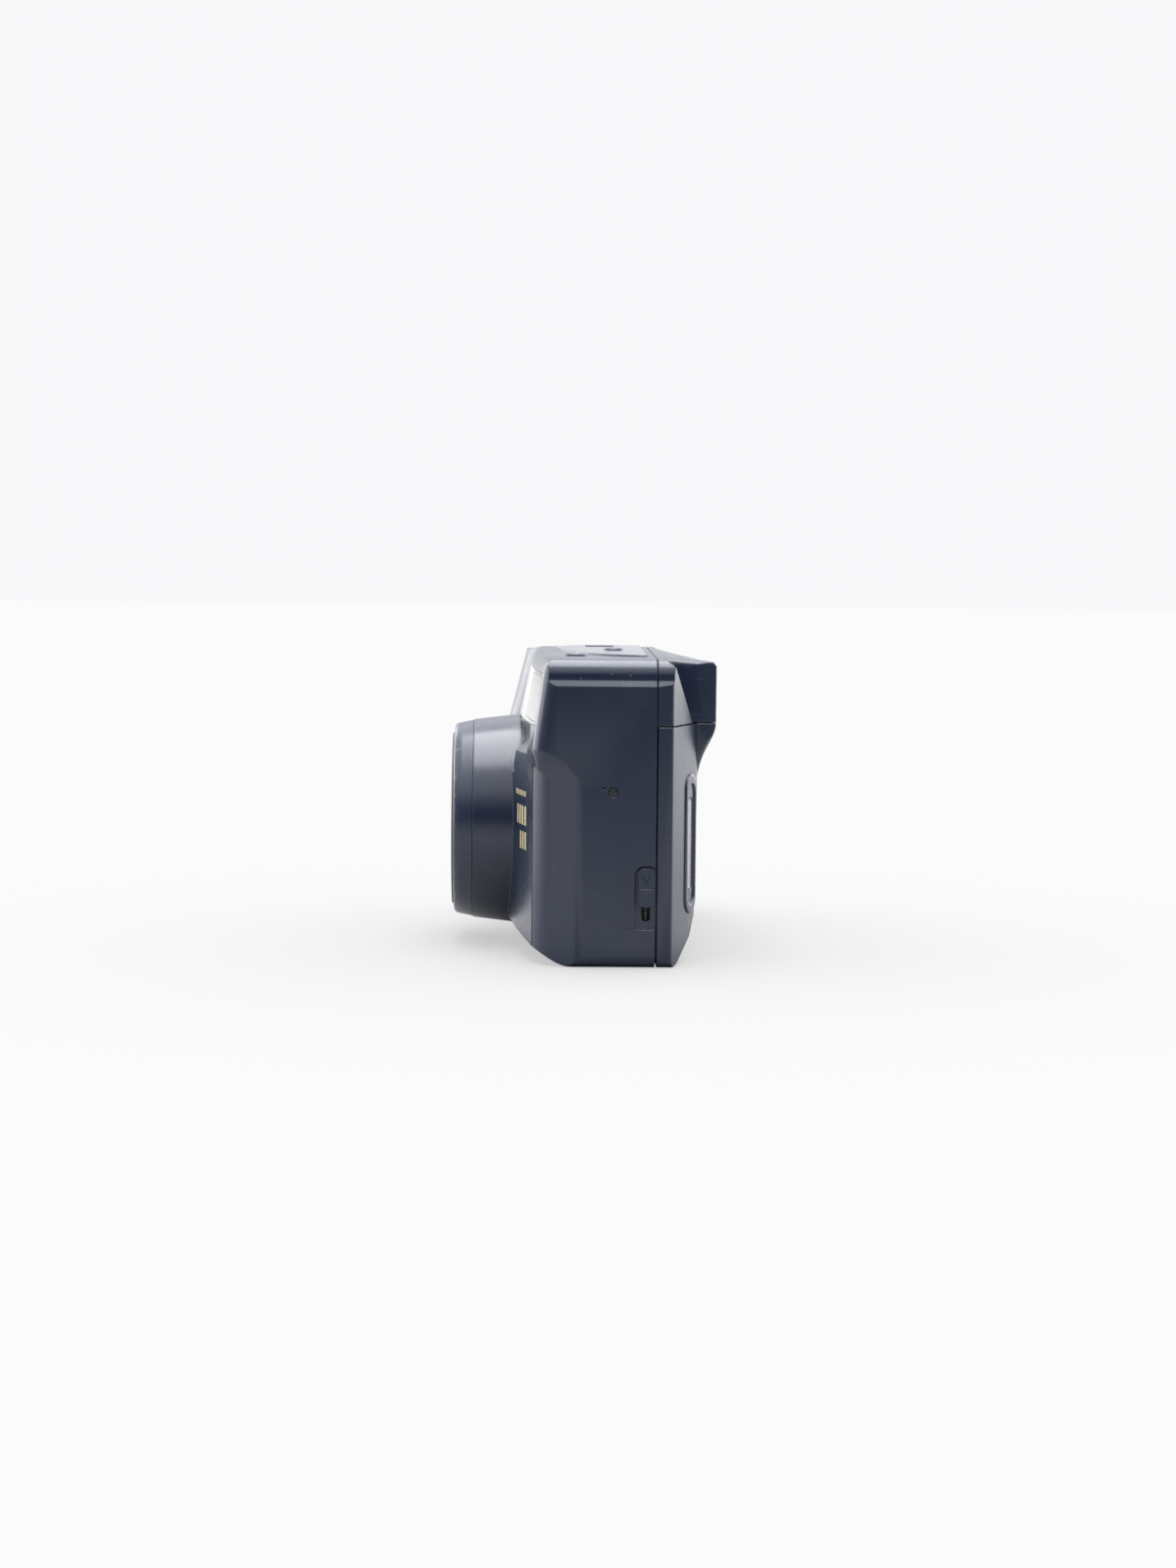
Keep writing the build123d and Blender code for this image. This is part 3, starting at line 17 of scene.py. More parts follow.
import bmesh
import bpy
import numpy as np
from mathutils import Matrix, Vector
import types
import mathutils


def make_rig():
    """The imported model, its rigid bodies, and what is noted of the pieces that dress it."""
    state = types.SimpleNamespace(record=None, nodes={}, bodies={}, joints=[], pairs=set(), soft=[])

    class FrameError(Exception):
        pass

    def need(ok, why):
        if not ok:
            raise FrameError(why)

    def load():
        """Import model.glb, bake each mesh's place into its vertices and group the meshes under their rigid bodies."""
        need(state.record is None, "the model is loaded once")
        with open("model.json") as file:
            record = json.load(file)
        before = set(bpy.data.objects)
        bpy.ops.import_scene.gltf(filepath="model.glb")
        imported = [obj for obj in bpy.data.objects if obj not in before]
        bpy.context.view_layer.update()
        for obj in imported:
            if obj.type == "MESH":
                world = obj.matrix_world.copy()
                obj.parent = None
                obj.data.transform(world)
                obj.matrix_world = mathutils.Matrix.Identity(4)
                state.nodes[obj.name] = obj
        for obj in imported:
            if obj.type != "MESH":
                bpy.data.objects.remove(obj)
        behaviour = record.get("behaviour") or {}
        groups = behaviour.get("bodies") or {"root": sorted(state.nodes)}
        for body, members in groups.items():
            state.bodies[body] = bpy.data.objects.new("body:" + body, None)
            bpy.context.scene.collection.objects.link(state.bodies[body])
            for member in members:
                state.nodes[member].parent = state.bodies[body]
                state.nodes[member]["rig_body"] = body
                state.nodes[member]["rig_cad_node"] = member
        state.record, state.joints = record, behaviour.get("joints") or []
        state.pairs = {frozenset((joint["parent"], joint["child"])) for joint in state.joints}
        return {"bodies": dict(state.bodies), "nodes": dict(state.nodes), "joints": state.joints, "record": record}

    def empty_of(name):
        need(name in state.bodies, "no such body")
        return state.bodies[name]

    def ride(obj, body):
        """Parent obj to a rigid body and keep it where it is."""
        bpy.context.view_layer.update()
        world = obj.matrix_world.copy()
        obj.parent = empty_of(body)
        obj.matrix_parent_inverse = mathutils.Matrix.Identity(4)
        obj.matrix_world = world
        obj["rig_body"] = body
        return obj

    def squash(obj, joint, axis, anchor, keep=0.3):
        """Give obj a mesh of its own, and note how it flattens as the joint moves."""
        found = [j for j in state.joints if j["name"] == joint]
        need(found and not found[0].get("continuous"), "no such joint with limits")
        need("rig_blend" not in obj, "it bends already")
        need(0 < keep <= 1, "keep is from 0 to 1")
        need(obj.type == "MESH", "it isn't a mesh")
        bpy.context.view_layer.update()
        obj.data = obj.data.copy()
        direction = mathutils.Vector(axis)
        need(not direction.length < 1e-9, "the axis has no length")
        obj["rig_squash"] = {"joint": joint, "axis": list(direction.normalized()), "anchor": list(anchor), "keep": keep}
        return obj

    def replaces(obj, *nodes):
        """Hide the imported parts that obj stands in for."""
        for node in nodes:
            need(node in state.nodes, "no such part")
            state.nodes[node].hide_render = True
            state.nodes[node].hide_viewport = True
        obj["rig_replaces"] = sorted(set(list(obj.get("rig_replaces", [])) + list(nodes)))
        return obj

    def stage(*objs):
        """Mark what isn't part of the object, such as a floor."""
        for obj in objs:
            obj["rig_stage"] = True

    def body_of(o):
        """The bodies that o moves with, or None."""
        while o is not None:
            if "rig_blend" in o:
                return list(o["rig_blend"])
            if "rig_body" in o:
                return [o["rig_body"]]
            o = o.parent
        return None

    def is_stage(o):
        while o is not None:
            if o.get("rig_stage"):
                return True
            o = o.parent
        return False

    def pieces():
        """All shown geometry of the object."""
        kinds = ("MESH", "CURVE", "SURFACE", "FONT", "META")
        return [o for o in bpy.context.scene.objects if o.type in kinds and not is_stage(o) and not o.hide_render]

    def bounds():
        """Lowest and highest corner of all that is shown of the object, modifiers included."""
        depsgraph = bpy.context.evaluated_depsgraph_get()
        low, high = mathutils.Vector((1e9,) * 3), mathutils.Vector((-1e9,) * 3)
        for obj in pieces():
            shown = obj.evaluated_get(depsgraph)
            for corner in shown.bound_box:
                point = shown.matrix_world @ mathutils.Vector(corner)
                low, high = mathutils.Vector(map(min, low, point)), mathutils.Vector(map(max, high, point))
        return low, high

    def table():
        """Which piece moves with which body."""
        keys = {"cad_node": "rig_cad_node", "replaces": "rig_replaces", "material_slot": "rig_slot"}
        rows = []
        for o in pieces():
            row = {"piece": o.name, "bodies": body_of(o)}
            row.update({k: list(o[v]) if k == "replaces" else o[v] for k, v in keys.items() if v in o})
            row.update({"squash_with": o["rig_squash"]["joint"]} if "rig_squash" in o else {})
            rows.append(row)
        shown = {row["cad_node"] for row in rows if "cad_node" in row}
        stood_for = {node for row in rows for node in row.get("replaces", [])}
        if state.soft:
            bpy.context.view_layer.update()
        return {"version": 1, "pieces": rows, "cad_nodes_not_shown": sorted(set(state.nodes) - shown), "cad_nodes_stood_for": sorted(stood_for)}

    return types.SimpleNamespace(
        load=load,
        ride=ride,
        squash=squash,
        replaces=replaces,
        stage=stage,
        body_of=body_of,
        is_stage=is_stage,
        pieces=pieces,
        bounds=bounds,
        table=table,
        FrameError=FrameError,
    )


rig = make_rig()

log = logging.getLogger("camera_scene")
MM = 0.001


def linear_rgba(hex_colour: str) -> tuple[float, float, float, float]:
    """Turns an sRGB hex colour into linear light.

    Args:
        hex_colour: Six hex digits, such as "2b2f38".

    Returns:
        Linear red, green and blue, and an alpha of 1.
    """
    encoded = np.array([int(hex_colour[i : i + 2], 16) for i in (0, 2, 4)]) / 255.0
    low = encoded / 12.92
    high = ((encoded + 0.055) / 1.055) ** 2.4
    red, green, blue = np.where(encoded <= 0.04045, low, high)
    return float(red), float(green), float(blue), 1.0


def add_node(
    tree: bpy.types.NodeTree, kind: str, links: dict[str | int, Any] | None = None, **settings: Any
) -> bpy.types.Node:
    """Adds one shader or geometry node with its settings and links.

    Args:
        tree: The node tree to add to.
        kind: The node's type name.
        links: Input name or index to the output socket or plain value it gets.
        **settings: Attributes set on the node before its inputs are linked.

    Returns:
        The new node.
    """
    node = tree.nodes.new(kind)
    for name, value in settings.items():
        setattr(node, name, value)
    for key, value in (links or {}).items():
        if isinstance(value, bpy.types.NodeSocket):
            tree.links.new(value, node.inputs[key])
        else:
            node.inputs[key].default_value = value
    return node


def blank_material(name: str) -> tuple[bpy.types.Material, bpy.types.NodeTree]:
    """Makes an empty node material.

    Args:
        name: The material's name.

    Returns:
        The material and its node tree.
    """
    material = bpy.data.materials.new(name)
    material.use_nodes = True
    material.node_tree.nodes.clear()
    return material, material.node_tree


@dataclass(frozen=True)
class MouldedPlastic:
    """Injection-moulded plastic with a fine spark-eroded grain, faint rubbing and a little dust.

    The grain is real at about 0.1 mm. It is drawn at grain_mm, coarse enough to show. Rubbing
    leaves patches of mottle_mm, over which colour and roughness vary by mottle. Scratches are real
    at some hundredths of a millimetre, and are drawn as the thin crests of a noise of scratch_mm.
    The dust specks are real at 0.05 to 0.2 mm and are drawn 0.3 mm across, about one on every 4
    square centimetres. A speck fades between the two values of dust_radius, which are shares of
    dust_spacing_mm, and dust_clean is the share of places without a speck.
    """

    name: str
    colour: str
    roughness: float = 0.32
    ior: float = 1.58
    sheen_tint: str = "ffffff"
    grain_mm: float = 0.35
    grain_depth: float = 0.008
    grain_strength: float = 0.35
    edge_mm: float = 0.25
    mottle: float = 0.05
    mottle_mm: float = 14.0
    mottle_span: tuple[float, float] = (0.3, 0.7)
    scratches: float = 0.12
    scratch_mm: float = 0.9
    scratch_crest: tuple[float, float] = (0.70, 0.76)
    scratch_turn: tuple[float, float, float] = (0.5, 0.3, 0.9)
    scratch_stretch: tuple[float, float, float] = (1.0, 0.06, 1.0)
    dust: float = 0.0
    dust_colour: str = "8f949c"
    dust_spacing_mm: float = 2.6
    dust_radius: tuple[float, float] = (0.075, 0.045)
    dust_clean: float = 0.86

    def dusty_colour(
        self, tree: bpy.types.NodeTree, place: bpy.types.NodeSocket, cloud: bpy.types.NodeSocket
    ) -> bpy.types.NodeSocket:
        """Adds the base colour: a little paler in patches, with specks of dust.

        Args:
            tree: The material's node tree.
            place: Object coordinates.
            cloud: Soft patches from 0 to 1.

        Returns:
            The colour's socket.
        """
        base = linear_rgba(self.colour)
        pale = tuple(min(1.0, channel * (1 + 4 * self.mottle)) for channel in base[:3]) + (1.0,)
        # a Mix node of colours takes them at its inputs 6 and 7 and gives their mix at its output 2
        clean = add_node(tree, "ShaderNodeMix", {0: cloud, 6: base, 7: pale}, data_type="RGBA")
        # a speck is the middle of a few cells out of a random scatter of cells
        cell = add_node(
            tree, "ShaderNodeTexVoronoi", {"Vector": place, "Scale": 1 / (self.dust_spacing_mm * MM)}
        )
        speck = add_node(
            tree, "ShaderNodeMapRange",
            {
                "Value": cell.outputs["Distance"], "From Min": self.dust_radius[0],
                "From Max": self.dust_radius[1], "To Max": self.dust,
            },
        )
        chance = add_node(tree, "ShaderNodeSeparateColor", {0: cell.outputs["Color"]})
        chosen = add_node(
            tree, "ShaderNodeMath", {0: chance.outputs[0], 1: self.dust_clean}, operation="GREATER_THAN"
        )
        dusty = add_node(
            tree, "ShaderNodeMath", {0: speck.outputs["Result"], 1: chosen.outputs["Value"]},
            operation="MULTIPLY",
        )
        tint = add_node(
            tree, "ShaderNodeMix",
            {0: dusty.outputs["Value"], 6: clean.outputs[2], 7: linear_rgba(self.dust_colour)},
            data_type="RGBA",
        )
        return tint.outputs[2]

    def worn_roughness(
        self, tree: bpy.types.NodeTree, place: bpy.types.NodeSocket, cloud: bpy.types.NodeSocket
    ) -> bpy.types.NodeSocket:
        """Adds the roughness: it follows the patches, and fine scratches are rougher.

        Args:
            tree: The material's node tree.
            place: Object coordinates.
            cloud: Soft patches from 0 to 1.

        Returns:
            The roughness socket.
        """
        # handling scratches: a stretched noise, kept only at its thin crests
        stretched = add_node(
            tree, "ShaderNodeMapping",
            {"Vector": place, "Rotation": self.scratch_turn, "Scale": self.scratch_stretch},
        )
        streak = add_node(
            tree, "ShaderNodeTexNoise",
            {"Vector": stretched.outputs["Vector"], "Scale": 1 / (self.scratch_mm * MM), "Detail": 1.0},
        )
        crest = add_node(
            tree, "ShaderNodeMapRange",
            {
                "Value": streak.outputs["Fac"], "From Min": self.scratch_crest[0],
                "From Max": self.scratch_crest[1], "To Max": self.scratches,
            },
        )
        worn = add_node(
            tree, "ShaderNodeMapRange",
            {
                "Value": cloud, "From Min": self.mottle_span[0], "From Max": self.mottle_span[1],
                "To Min": self.roughness - self.mottle, "To Max": self.roughness + self.mottle,
            },
        )
        rough = add_node(
            tree, "ShaderNodeMath",
            {0: worn.outputs["Result"], 1: crest.outputs["Result"]}, operation="ADD", use_clamp=True,
        )
        return rough.outputs["Value"]

    def grained_normal(
        self, tree: bpy.types.NodeTree, place: bpy.types.NodeSocket
    ) -> bpy.types.NodeSocket:
        """Adds the grain's bump over edges that look rounded to edge_mm.

        Args:
            tree: The material's node tree.
            place: Object coordinates.

        Returns:
            The normal's socket.
        """
        grain = add_node(
            tree, "ShaderNodeTexNoise",
            {"Vector": place, "Scale": 1 / (self.grain_mm * MM), "Detail": 2.0, "Roughness": 0.6},
        )
        edge = add_node(tree, "ShaderNodeBevel", {"Radius": self.edge_mm * MM}, samples=4)
        bump = add_node(
            tree, "ShaderNodeBump",
            {
                "Strength": self.grain_strength, "Distance": self.grain_depth * MM,
                "Height": grain.outputs["Fac"], "Normal": edge.outputs["Normal"],
            },
        )
        return bump.outputs["Normal"]

    def build(self) -> bpy.types.Material:
        """Builds the node material.

        Returns:
            The material.
        """
        material, tree = blank_material(self.name)
        place = add_node(tree, "ShaderNodeTexCoord").outputs["Object"]
        cloud = add_node(
            tree, "ShaderNodeTexNoise",
            {"Vector": place, "Scale": 1 / (self.mottle_mm * MM), "Detail": 4.0, "Roughness": 0.65},
        ).outputs["Fac"]
        shader = add_node(
            tree, "ShaderNodeBsdfPrincipled",
            {
                "Base Color": self.dusty_colour(tree, place, cloud),
                "Roughness": self.worn_roughness(tree, place, cloud),
                "IOR": self.ior,
                "Specular Tint": linear_rgba(self.sheen_tint),
                "Normal": self.grained_normal(tree, place),
            },
        )
        add_node(tree, "ShaderNodeOutputMaterial", {"Surface": shader.outputs["BSDF"]})
        return material


@dataclass(frozen=True)
class ClearPlastic:
    """Polished acrylic or glass: clear, with a faint tint and soft patches of haze."""

    name: str
    colour: str
    roughness: float = 0.05
    transmission: float = 0.8
    ior: float = 1.49
    haze: float = 0.06
    haze_mm: float = 3.0

    def build(self) -> bpy.types.Material:
        """Builds the node material.

        Returns:
            The material.
        """
        material, tree = blank_material(self.name)
        place = add_node(tree, "ShaderNodeTexCoord").outputs["Object"]
        patches = add_node(
            tree, "ShaderNodeTexNoise",
            {"Vector": place, "Scale": 1 / (self.haze_mm * MM), "Detail": 3.0},
        )
        rough = add_node(
            tree, "ShaderNodeMapRange",
            {
                "Value": patches.outputs["Fac"], "To Min": self.roughness,
                "To Max": self.roughness + self.haze,
            },
        )
        shader = add_node(
            tree, "ShaderNodeBsdfPrincipled",
            {
                "Base Color": linear_rgba(self.colour), "Roughness": rough.outputs["Result"],
                "IOR": self.ior, "Transmission Weight": self.transmission,
            },
        )
        add_node(tree, "ShaderNodeOutputMaterial", {"Surface": shader.outputs["BSDF"]})
        return material


@dataclass(frozen=True)
class BareMetal:
    """Turned, drawn or plated metal with fine brushing, long in one direction.

    The streaks are real at some hundredths of a millimetre. They are drawn at brush_mm, coarse
    enough to show. The roughness varies with them by rough_spread, below and above.
    """

    name: str
    colour: str
    roughness: float = 0.3
    rough_spread: tuple[float, float] = (0.08, 0.12)
    brush_mm: tuple[float, float, float] = (0.3, 0.3, 6.0)
    brush_depth: float = 0.01
    brush_strength: float = 0.2

    def build(self) -> bpy.types.Material:
        """Builds the node material.

        Returns:
            The material.
        """
        material, tree = blank_material(self.name)
        place = add_node(tree, "ShaderNodeTexCoord").outputs["Object"]
        drawn = add_node(
            tree, "ShaderNodeMapping",
            {"Vector": place, "Scale": tuple(1 / (size * MM) for size in self.brush_mm)},
        )
        brushed = add_node(
            tree, "ShaderNodeTexNoise", {"Vector": drawn.outputs["Vector"], "Scale": 1.0, "Detail": 2.0}
        )
        rough = add_node(
            tree, "ShaderNodeMapRange",
            {
                "Value": brushed.outputs["Fac"], "To Min": self.roughness - self.rough_spread[0],
                "To Max": self.roughness + self.rough_spread[1],
            },
        )
        bump = add_node(
            tree, "ShaderNodeBump",
            {
                "Strength": self.brush_strength, "Distance": self.brush_depth * MM,
                "Height": brushed.outputs["Fac"],
            },
        )
        shader = add_node(
            tree, "ShaderNodeBsdfPrincipled",
            {
                "Base Color": linear_rgba(self.colour), "Metallic": 1.0,
                "Roughness": rough.outputs["Result"], "Normal": bump.outputs["Normal"],
            },
        )
        add_node(tree, "ShaderNodeOutputMaterial", {"Surface": shader.outputs["BSDF"]})
        return material


class Finish(Enum):
    """The finishes of this camera. NODE_FINISHES says which CAD nodes each of them goes on."""

    # near-black with a navy cast, satin: soft bright bands along its rounded edges, a little dust
    SHELL = MouldedPlastic(
        "satin_abs_shell", "0d1a2f", roughness=0.25, edge_mm=0.5, sheen_tint="fafbff", dust=0.5
    )
    # the turned pieces and buttons: the same black with a slightly softer shine, so the overhead
    # light sits on the barrel as one broad band
    RING = MouldedPlastic("satin_abs_ring", "0e1b31", roughness=0.28, sheen_tint="fafbff", dust=0.25)
    # polished black panel round the windows: near mirror, it shows the surroundings' edges
    GLOSS = MouldedPlastic("gloss_acrylic_panel", "101216", roughness=0.08, scratches=0.05)
    # smoother than the shell, so that it turns pale where it is seen at a slant
    FRAME = MouldedPlastic(
        "satin_abs_window_frame", "1b273c", roughness=0.12, grain_depth=0.006, mottle=0.02,
        scratches=0.05, edge_mm=0.8, sheen_tint="fafbff",
    )
    # unpainted inner mouldings: dull black, they stay dark in every opening
    INNER = MouldedPlastic("black_inner_abs", "0b0c0e", roughness=0.55)
    # waxy off-white of unpigmented acetal, against the black round it
    GEAR = MouldedPlastic("acetal_gear", "d8d3c4", roughness=0.4, scratches=0.0)
    # open-pored strip without any shine
    FOAM = MouldedPlastic("light_seal_foam", "0c0c0d", roughness=0.95, grain_depth=0.2, scratches=0.0)
    # green lacquer with a low gloss
    BOARD = MouldedPlastic("solder_mask_board", "14592e", roughness=0.35, scratches=0.0)
    # shrunk film on cells and capacitor: smooth dark blue with soft highlights along its length
    SLEEVE = MouldedPlastic("shrink_sleeve", "1b2038", roughness=0.25)
    # windows and lenses: what lies behind shows through a light reflection
    CLEAR = ClearPlastic("clear_acrylic", "f2f5f6")
    # milky and slightly rough, so that the window looks evenly pale from any side
    FLASH = ClearPlastic("flash_acrylic", "7c7d79", roughness=0.15, transmission=0.3)
    # quite clear, so that the grey-green display under it shows from above
    COVER = ClearPlastic("display_acrylic", "f2f5f6", roughness=0.02, transmission=1.0)
    # liquid-crystal glass: flat grey-green under the clear window
    CRYSTAL = MouldedPlastic("counter_glass", "4f594a", roughness=0.45, mottle=0.01, scratches=0.0)
    # dark bars: nearly black and matt, to read against the grey-green
    INK = MouldedPlastic("counter_segments", "181b1a", roughness=0.5, mottle=0.01, scratches=0.0)
    # blackened screw head: dark with bright arcs on its rim and slots
    OXIDE = BareMetal("black_oxide_steel", "4b4e54", roughness=0.16)
    # drawn wire and pressed sheet: grey with streaks along the drawing
    STEEL = BareMetal("drawn_steel", "b9babd")
    # flash reflector: bright enough to mirror the tube
    BRIGHT = BareMetal("polished_aluminium", "e6e7e8", roughness=0.12)
    # turned socket: a warmer grey than steel, with its turning marks
    BRASS = BareMetal("nickelled_brass", "c9c2a2")
    # plated contacts in the film chamber: small warm glints
    GOLD = BareMetal("gold_plate", "e2b65a", roughness=0.2)
    # hot-stamped marks: pale matt gold, the one warm colour on the outside
    FOIL = MouldedPlastic("gold_foil", "cfc096", roughness=0.35, mottle=0.02, scratches=0.0)

    def material(self) -> bpy.types.Material:
        """Gives the finish's material, which is built at its first use."""
        return bpy.data.materials.get(self.value.name) or self.value.build()


NODE_FINISHES: dict[Finish, tuple[str, ...]] = {
    Finish.SHELL: ("front_cover", "rear_cover", "back_door", "battery_door"),
    Finish.RING: (
        "shroud_ring", "inner_barrel", "door_latch", "flash_button", "power_button",
        "shutter_button", "zoom_lever",
    ),
    Finish.GLOSS: ("window_panel", "eyepiece_frame"),
    Finish.FRAME: ("film_window_frame", "top_panel"),
    Finish.INNER: (
        "outer_barrel", "lens_tube_front", "lens_tube_rear", "film_chassis", "shutter_unit",
        "front_lens_cell", "barrier_base", "finder_body", "focus_sensor", "battery_cap",
        "take_up_spool", "film_sprocket", "rewind_fork", "barrier_blade_upper",
        "barrier_blade_lower", "pressure_plate", "button_switches",
    ),
    Finish.GEAR: ("drive_ring", "zoom_pinion"),
    Finish.FOAM: ("light_seals",),
    Finish.BOARD: ("main_board",),
    Finish.SLEEVE: ("battery", "flash_capacitor"),
    Finish.CLEAR: (
        "film_window", "finder_window", "eyepiece_lens", "front_lens", "rear_lens",
        "finder_objective", "flash_tube",
    ),
    Finish.COVER: ("display_window",),
    Finish.FLASH: ("flash_window",),
    Finish.STEEL: (
        "hinge_pin", "latch_spring", "pressure_spring", "battery_door_pin", "strap_bar",
        "cover_screws", "lens_screws", "zoom_motor", "transport_motor",
    ),
    Finish.OXIDE: ("side_screw",),
    Finish.BRIGHT: ("flash_reflector",),
    Finish.BRASS: ("tripod_socket",),
    Finish.GOLD: ("dx_contacts",),
}


def smoothing_group(weld_mm: float = 0.002, sharp_deg: float = 28.0) -> bpy.types.NodeTree:
    """Builds the geometry nodes that join a CAD node's triangles and smooth its curved faces.

    Args:
        weld_mm: Points closer than this are joined.
        sharp_deg: Edges over this angle stay sharp.

    Returns:
        A node group: merge by distance, then smooth shading except across sharp edges.
    """
    group = bpy.data.node_groups.new("smooth_cad_faces", "GeometryNodeTree")
    group.interface.new_socket("Geometry", in_out="INPUT", socket_type="NodeSocketGeometry")
    group.interface.new_socket("Geometry", in_out="OUTPUT", socket_type="NodeSocketGeometry")
    entry = add_node(group, "NodeGroupInput")
    merged = add_node(
        group, "GeometryNodeMergeByDistance", {"Geometry": entry.outputs[0], "Distance": weld_mm * MM}
    )
    angle = add_node(group, "GeometryNodeInputMeshEdgeAngle")
    sharp = add_node(
        group, "FunctionNodeCompare",
        {0: angle.outputs["Unsigned Angle"], 1: math.radians(sharp_deg)}, data_type="FLOAT",
        operation="GREATER_THAN",
    )
    all_smooth = add_node(
        group, "GeometryNodeSetShadeSmooth",
        {"Geometry": merged.outputs["Geometry"], "Shade Smooth": True}, domain="FACE",
    )
    edges = add_node(
        group, "GeometryNodeSetShadeSmooth",
        {
            "Geometry": all_smooth.outputs["Geometry"], "Selection": sharp.outputs["Result"],
            "Shade Smooth": False,
        },
        domain="EDGE",
    )
    add_node(group, "NodeGroupOutput", {0: edges.outputs["Geometry"]})
    return group


@dataclass
class CadDressing:
    """Gives every CAD node its finish and smooth shading."""

    frame: dict[str, Any]
    group: bpy.types.NodeTree = field(default_factory=smoothing_group)

    def dress(self) -> None:
        """Assigns materials and the smoothing modifier to all CAD nodes."""
        for finish, names in NODE_FINISHES.items():
            for name in names:
                node = self.frame["nodes"][name]
                node.data.materials.clear()
                node.data.materials.append(finish.material())
                smooth = node.modifiers.new("smooth_cad_faces", "NODES")
                smooth.node_group = self.group
                log.info("dressed %s in %s", name, finish.value.name)


def mesh_object(
    name: str, points: np.ndarray, faces: np.ndarray, smooth: bool = False
) -> bpy.types.Object:
    """Makes an object from points and faces and links it to the scene.

    Args:
        name: Object and mesh name.
        points: Array with x, y, z along its last axis, in metres.
        faces: Array of faces by corners, as numbers of points.
        smooth: Whether the faces are shaded smooth.

    Returns:
        The new object.
    """
    mesh = bpy.data.meshes.new(name)
    mesh.from_pydata(points.reshape(-1, 3).tolist(), [], faces.tolist())
    mesh.polygons.foreach_set("use_smooth", np.full(len(faces), smooth))
    piece = bpy.data.objects.new(name, mesh)
    bpy.context.collection.objects.link(piece)
    return piece


def grid_object(
    name: str, points: np.ndarray, close_rows: bool = False, close_columns: bool = False,
    smooth: bool = True,
) -> bpy.types.Object:
    """Makes an object from a grid of points, with a quad between each four neighbours.

    Args:
        name: Object and mesh name.
        points: Array of rows by columns by 3, in metres.
        close_rows: Joins the last row to the first.
        close_columns: Joins the last column to the first.
        smooth: Whether the faces are shaded smooth.

    Returns:
        The new object, linked to the scene.
    """
    rows, columns = points.shape[:2]
    row = np.arange(rows if close_rows else rows - 1)[:, None]
    column = np.arange(columns if close_columns else columns - 1)[None, :]
    next_row, next_column = (row + 1) % rows, (column + 1) % columns
    quads = np.stack(
        [
            row * columns + column, row * columns + next_column,
            next_row * columns + next_column, next_row * columns + column,
        ],
        axis=-1,
    ).reshape(-1, 4)
    return mesh_object(name, points, quads, smooth)


def turn_outwards(piece: bpy.types.Object, weld_mm: float = 0.0) -> None:
    """Turns every face of a closed mesh to point out of it, and those of a sheet to one side.

    Args:
        piece: The object whose mesh is turned.
        weld_mm: Points closer than this are joined first, as where a tube or disc ends in a point.
    """
    shell = bmesh.new()
    shell.from_mesh(piece.data)
    if weld_mm:
        bmesh.ops.remove_doubles(shell, verts=shell.verts, dist=weld_mm * MM)
    bmesh.ops.recalc_face_normals(shell, faces=shell.faces)
    shell.to_mesh(piece.data)
    shell.free()


def thicken(piece: bpy.types.Object, depth_mm: float) -> None:
    """Gives an open sheet a real thickness, half to each side.

    Args:
        piece: The sheet.
        depth_mm: Its whole thickness.
    """
    wall = piece.modifiers.new("sheet_thickness", "SOLIDIFY")
    wall.thickness = depth_mm * MM
    wall.offset = 0.0


@dataclass
class RakedFront:
    """The bowed, leaning face above the waist, as the CAD front cover has it.

    At a height z the face is y = corner + (centre - corner) * (1 - (x / half_width)^2), and both
    corner and centre run straight from the waist up to the rounded top edge.
    """

    half_width: float = 58.0
    low_z: float = 51.2
    high_z: float = 69.8
    corner_y: tuple[float, float] = (-16.7, -14.3)
    centre_y: tuple[float, float] = (-21.2, -17.2)

    def depth(self, x: np.ndarray, z: np.ndarray) -> np.ndarray:
        """Gives y for points of the face.

        Args:
            x: The points' x.
            z: The points' z.

        Returns:
            The points' y.
        """
        climb = (z - self.low_z) / (self.high_z - self.low_z)
        corner = self.corner_y[0] + climb * (self.corner_y[1] - self.corner_y[0])
        centre = self.centre_y[0] + climb * (self.centre_y[1] - self.centre_y[0])
        return corner + (centre - corner) * (1 - (x / self.half_width) ** 2)


@dataclass
class FlashDiffuser:
    """Prismatic sheet behind the flash window: upright ribs that spread the tube's light."""

    front: RakedFront = field(default_factory=RakedFront)
    x_span: tuple[float, float] = (29.6, 50.8)
    z_span: tuple[float, float] = (59.1, 67.4)
    rib_pitch: float = 0.9
    rib_depth: float = 0.25
    set_back: float = 1.2
    thickness: float = 0.12
    steps_per_rib: int = 4
    rows_up: int = 12

    def build(self) -> list[bpy.types.Object]:
        """Builds the ribbed sheet.

        The depth is the raked front's own, set back, plus a triangle wave across x:
        depth = front(x, z) + set_back + rib_depth * |2 * fraction(x / pitch) - 1|.

        Returns:
            The sheet, riding on the body.
        """
        ribs = round((self.x_span[1] - self.x_span[0]) / self.rib_pitch)
        x = np.linspace(*self.x_span, ribs * self.steps_per_rib + 1)[:, None]
        z = np.linspace(*self.z_span, self.rows_up)[None, :]
        wave = np.abs(2 * np.modf((x - self.x_span[0]) / self.rib_pitch)[0] - 1)
        y = self.front.depth(x, z) + self.set_back + self.rib_depth * wave
        points = np.stack(np.broadcast_arrays(x, y, z), axis=-1) * MM
        sheet = grid_object("flash_prism_sheet", points, smooth=False)
        thicken(sheet, self.thickness)
        sheet.data.materials.append(Finish.FLASH.material())
        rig.ride(sheet, "camera_body")
        return [sheet]


